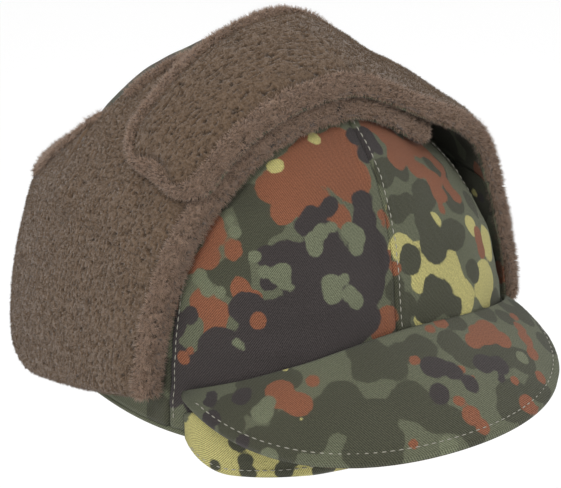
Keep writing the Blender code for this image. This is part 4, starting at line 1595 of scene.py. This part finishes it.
FLOOR_REACH = 30.0
FLOOR_Z = -0.40
FLOOR_GLOW = 0.10
FLOOR_GREY = (0.96, 0.96, 0.96)
SKY_STRENGTH = 0.82
LIGHTS = {
    "key": ((-0.9, -0.7, 1.3), 0.5, 11),
    "fill": ((0.7, -1.3, 0.6), 1.2, 1),
    "rim": ((0.9, 0.9, 1.2), 1.0, 2),
}
LIGHT_AIM = (0, 0, 0.06)
CAMERA_PLACE = (-0.5900, -0.8990, 0.5360)
CAMERA_AIM = (-0.0022, -0.0131, 0.0467)
CAMERA_LENS = 182.5
SENSOR_WIDTH = 36


def build_room():
    """A plain pale floor and soft light."""
    floor_mesh = bpy.data.meshes.new("floor")
    floor_mesh.from_pydata(
        [(x * FLOOR_REACH, y * FLOOR_REACH, FLOOR_Z) for x, y in ((-1, -1), (1, -1), (1, 1), (-1, 1))],
        [],
        [(0, 1, 2, 3)],
    )
    floor = bpy.data.objects.new("floor", floor_mesh)
    bpy.context.scene.collection.objects.link(floor)
    pale, _, floor_shader = new_material("pale_floor", FLOOR_GREY, roughness=1.0)
    floor_shader.inputs["Emission Color"].default_value = (1, 1, 1, 1)
    floor_shader.inputs["Emission Strength"].default_value = FLOOR_GLOW
    floor_mesh.materials.append(pale)
    bpy.context.scene.view_settings.view_transform = "Standard"
    world = bpy.data.worlds.new("soft_daylight")
    bpy.context.scene.world = world
    world.use_nodes = True
    background = world.node_tree.nodes["Background"]
    background.inputs["Color"].default_value = (1.0, 1.0, 1.0, 1)
    background.inputs["Strength"].default_value = SKY_STRENGTH
    for name, (place, size, power) in LIGHTS.items():
        add_light(name, place, size, power)


def add_light(name, place, size, power):
    """A square soft light aimed at the cap."""
    data = bpy.data.lights.new(name, "AREA")
    data.size = size
    data.energy = power
    light = bpy.data.objects.new(name, data)
    light.location = place
    aim = Vector(LIGHT_AIM) - Vector(place)
    light.rotation_euler = aim.to_track_quat("-Z", "Y").to_euler()
    bpy.context.scene.collection.objects.link(light)


def build_camera():
    """The camera at the wearer's front right, a little above the cap."""
    data = bpy.data.cameras.new("camera")
    data.lens = CAMERA_LENS
    data.sensor_width = SENSOR_WIDTH
    camera = bpy.data.objects.new("camera", data)
    camera.location = CAMERA_PLACE
    aim = Vector(CAMERA_AIM) - Vector(CAMERA_PLACE)
    camera.rotation_euler = aim.to_track_quat("-Z", "Y").to_euler()
    bpy.context.scene.collection.objects.link(camera)
    bpy.context.scene.camera = camera


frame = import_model()
BAND_JOINTS = {joint["child"]: joint for joint in frame["record"]["behaviour"]["joints"]}
MATERIALS = {
    "twill": twill_material("camouflage_twill", GREY_GREEN),
    "pile": pile_material(),
    "tufts": tuft_materials(),
    "thread": thread_material(),
    "wadding": plain_cloth_material("white_wadding", (0.62, 0.6, 0.55), 3 * MM, 1.0),
    "lining": plain_cloth_material("olive_lining", (0.085, 0.09, 0.055), 1.2 * MM, 0.8),
    "sweatband": plain_cloth_material("sweatband_cloth", (0.12, 0.12, 0.075), 1.0 * MM, 0.75),
    "label": plain_cloth_material("label_cloth", (0.6, 0.58, 0.52), 0.6 * MM, 0.8),
    "hook_tape": plain_cloth_material("hook_tape_weave", (0.13, 0.125, 0.085), 1.4 * MM, 0.8),
}
build_crown()
build_visor()
build_front_flap()
build_band()
build_join()
build_lining()
build_hem_and_sweatband()
build_top_patch()
build_label()
build_hook_tape()
dress_cad()
build_room()
build_camera()
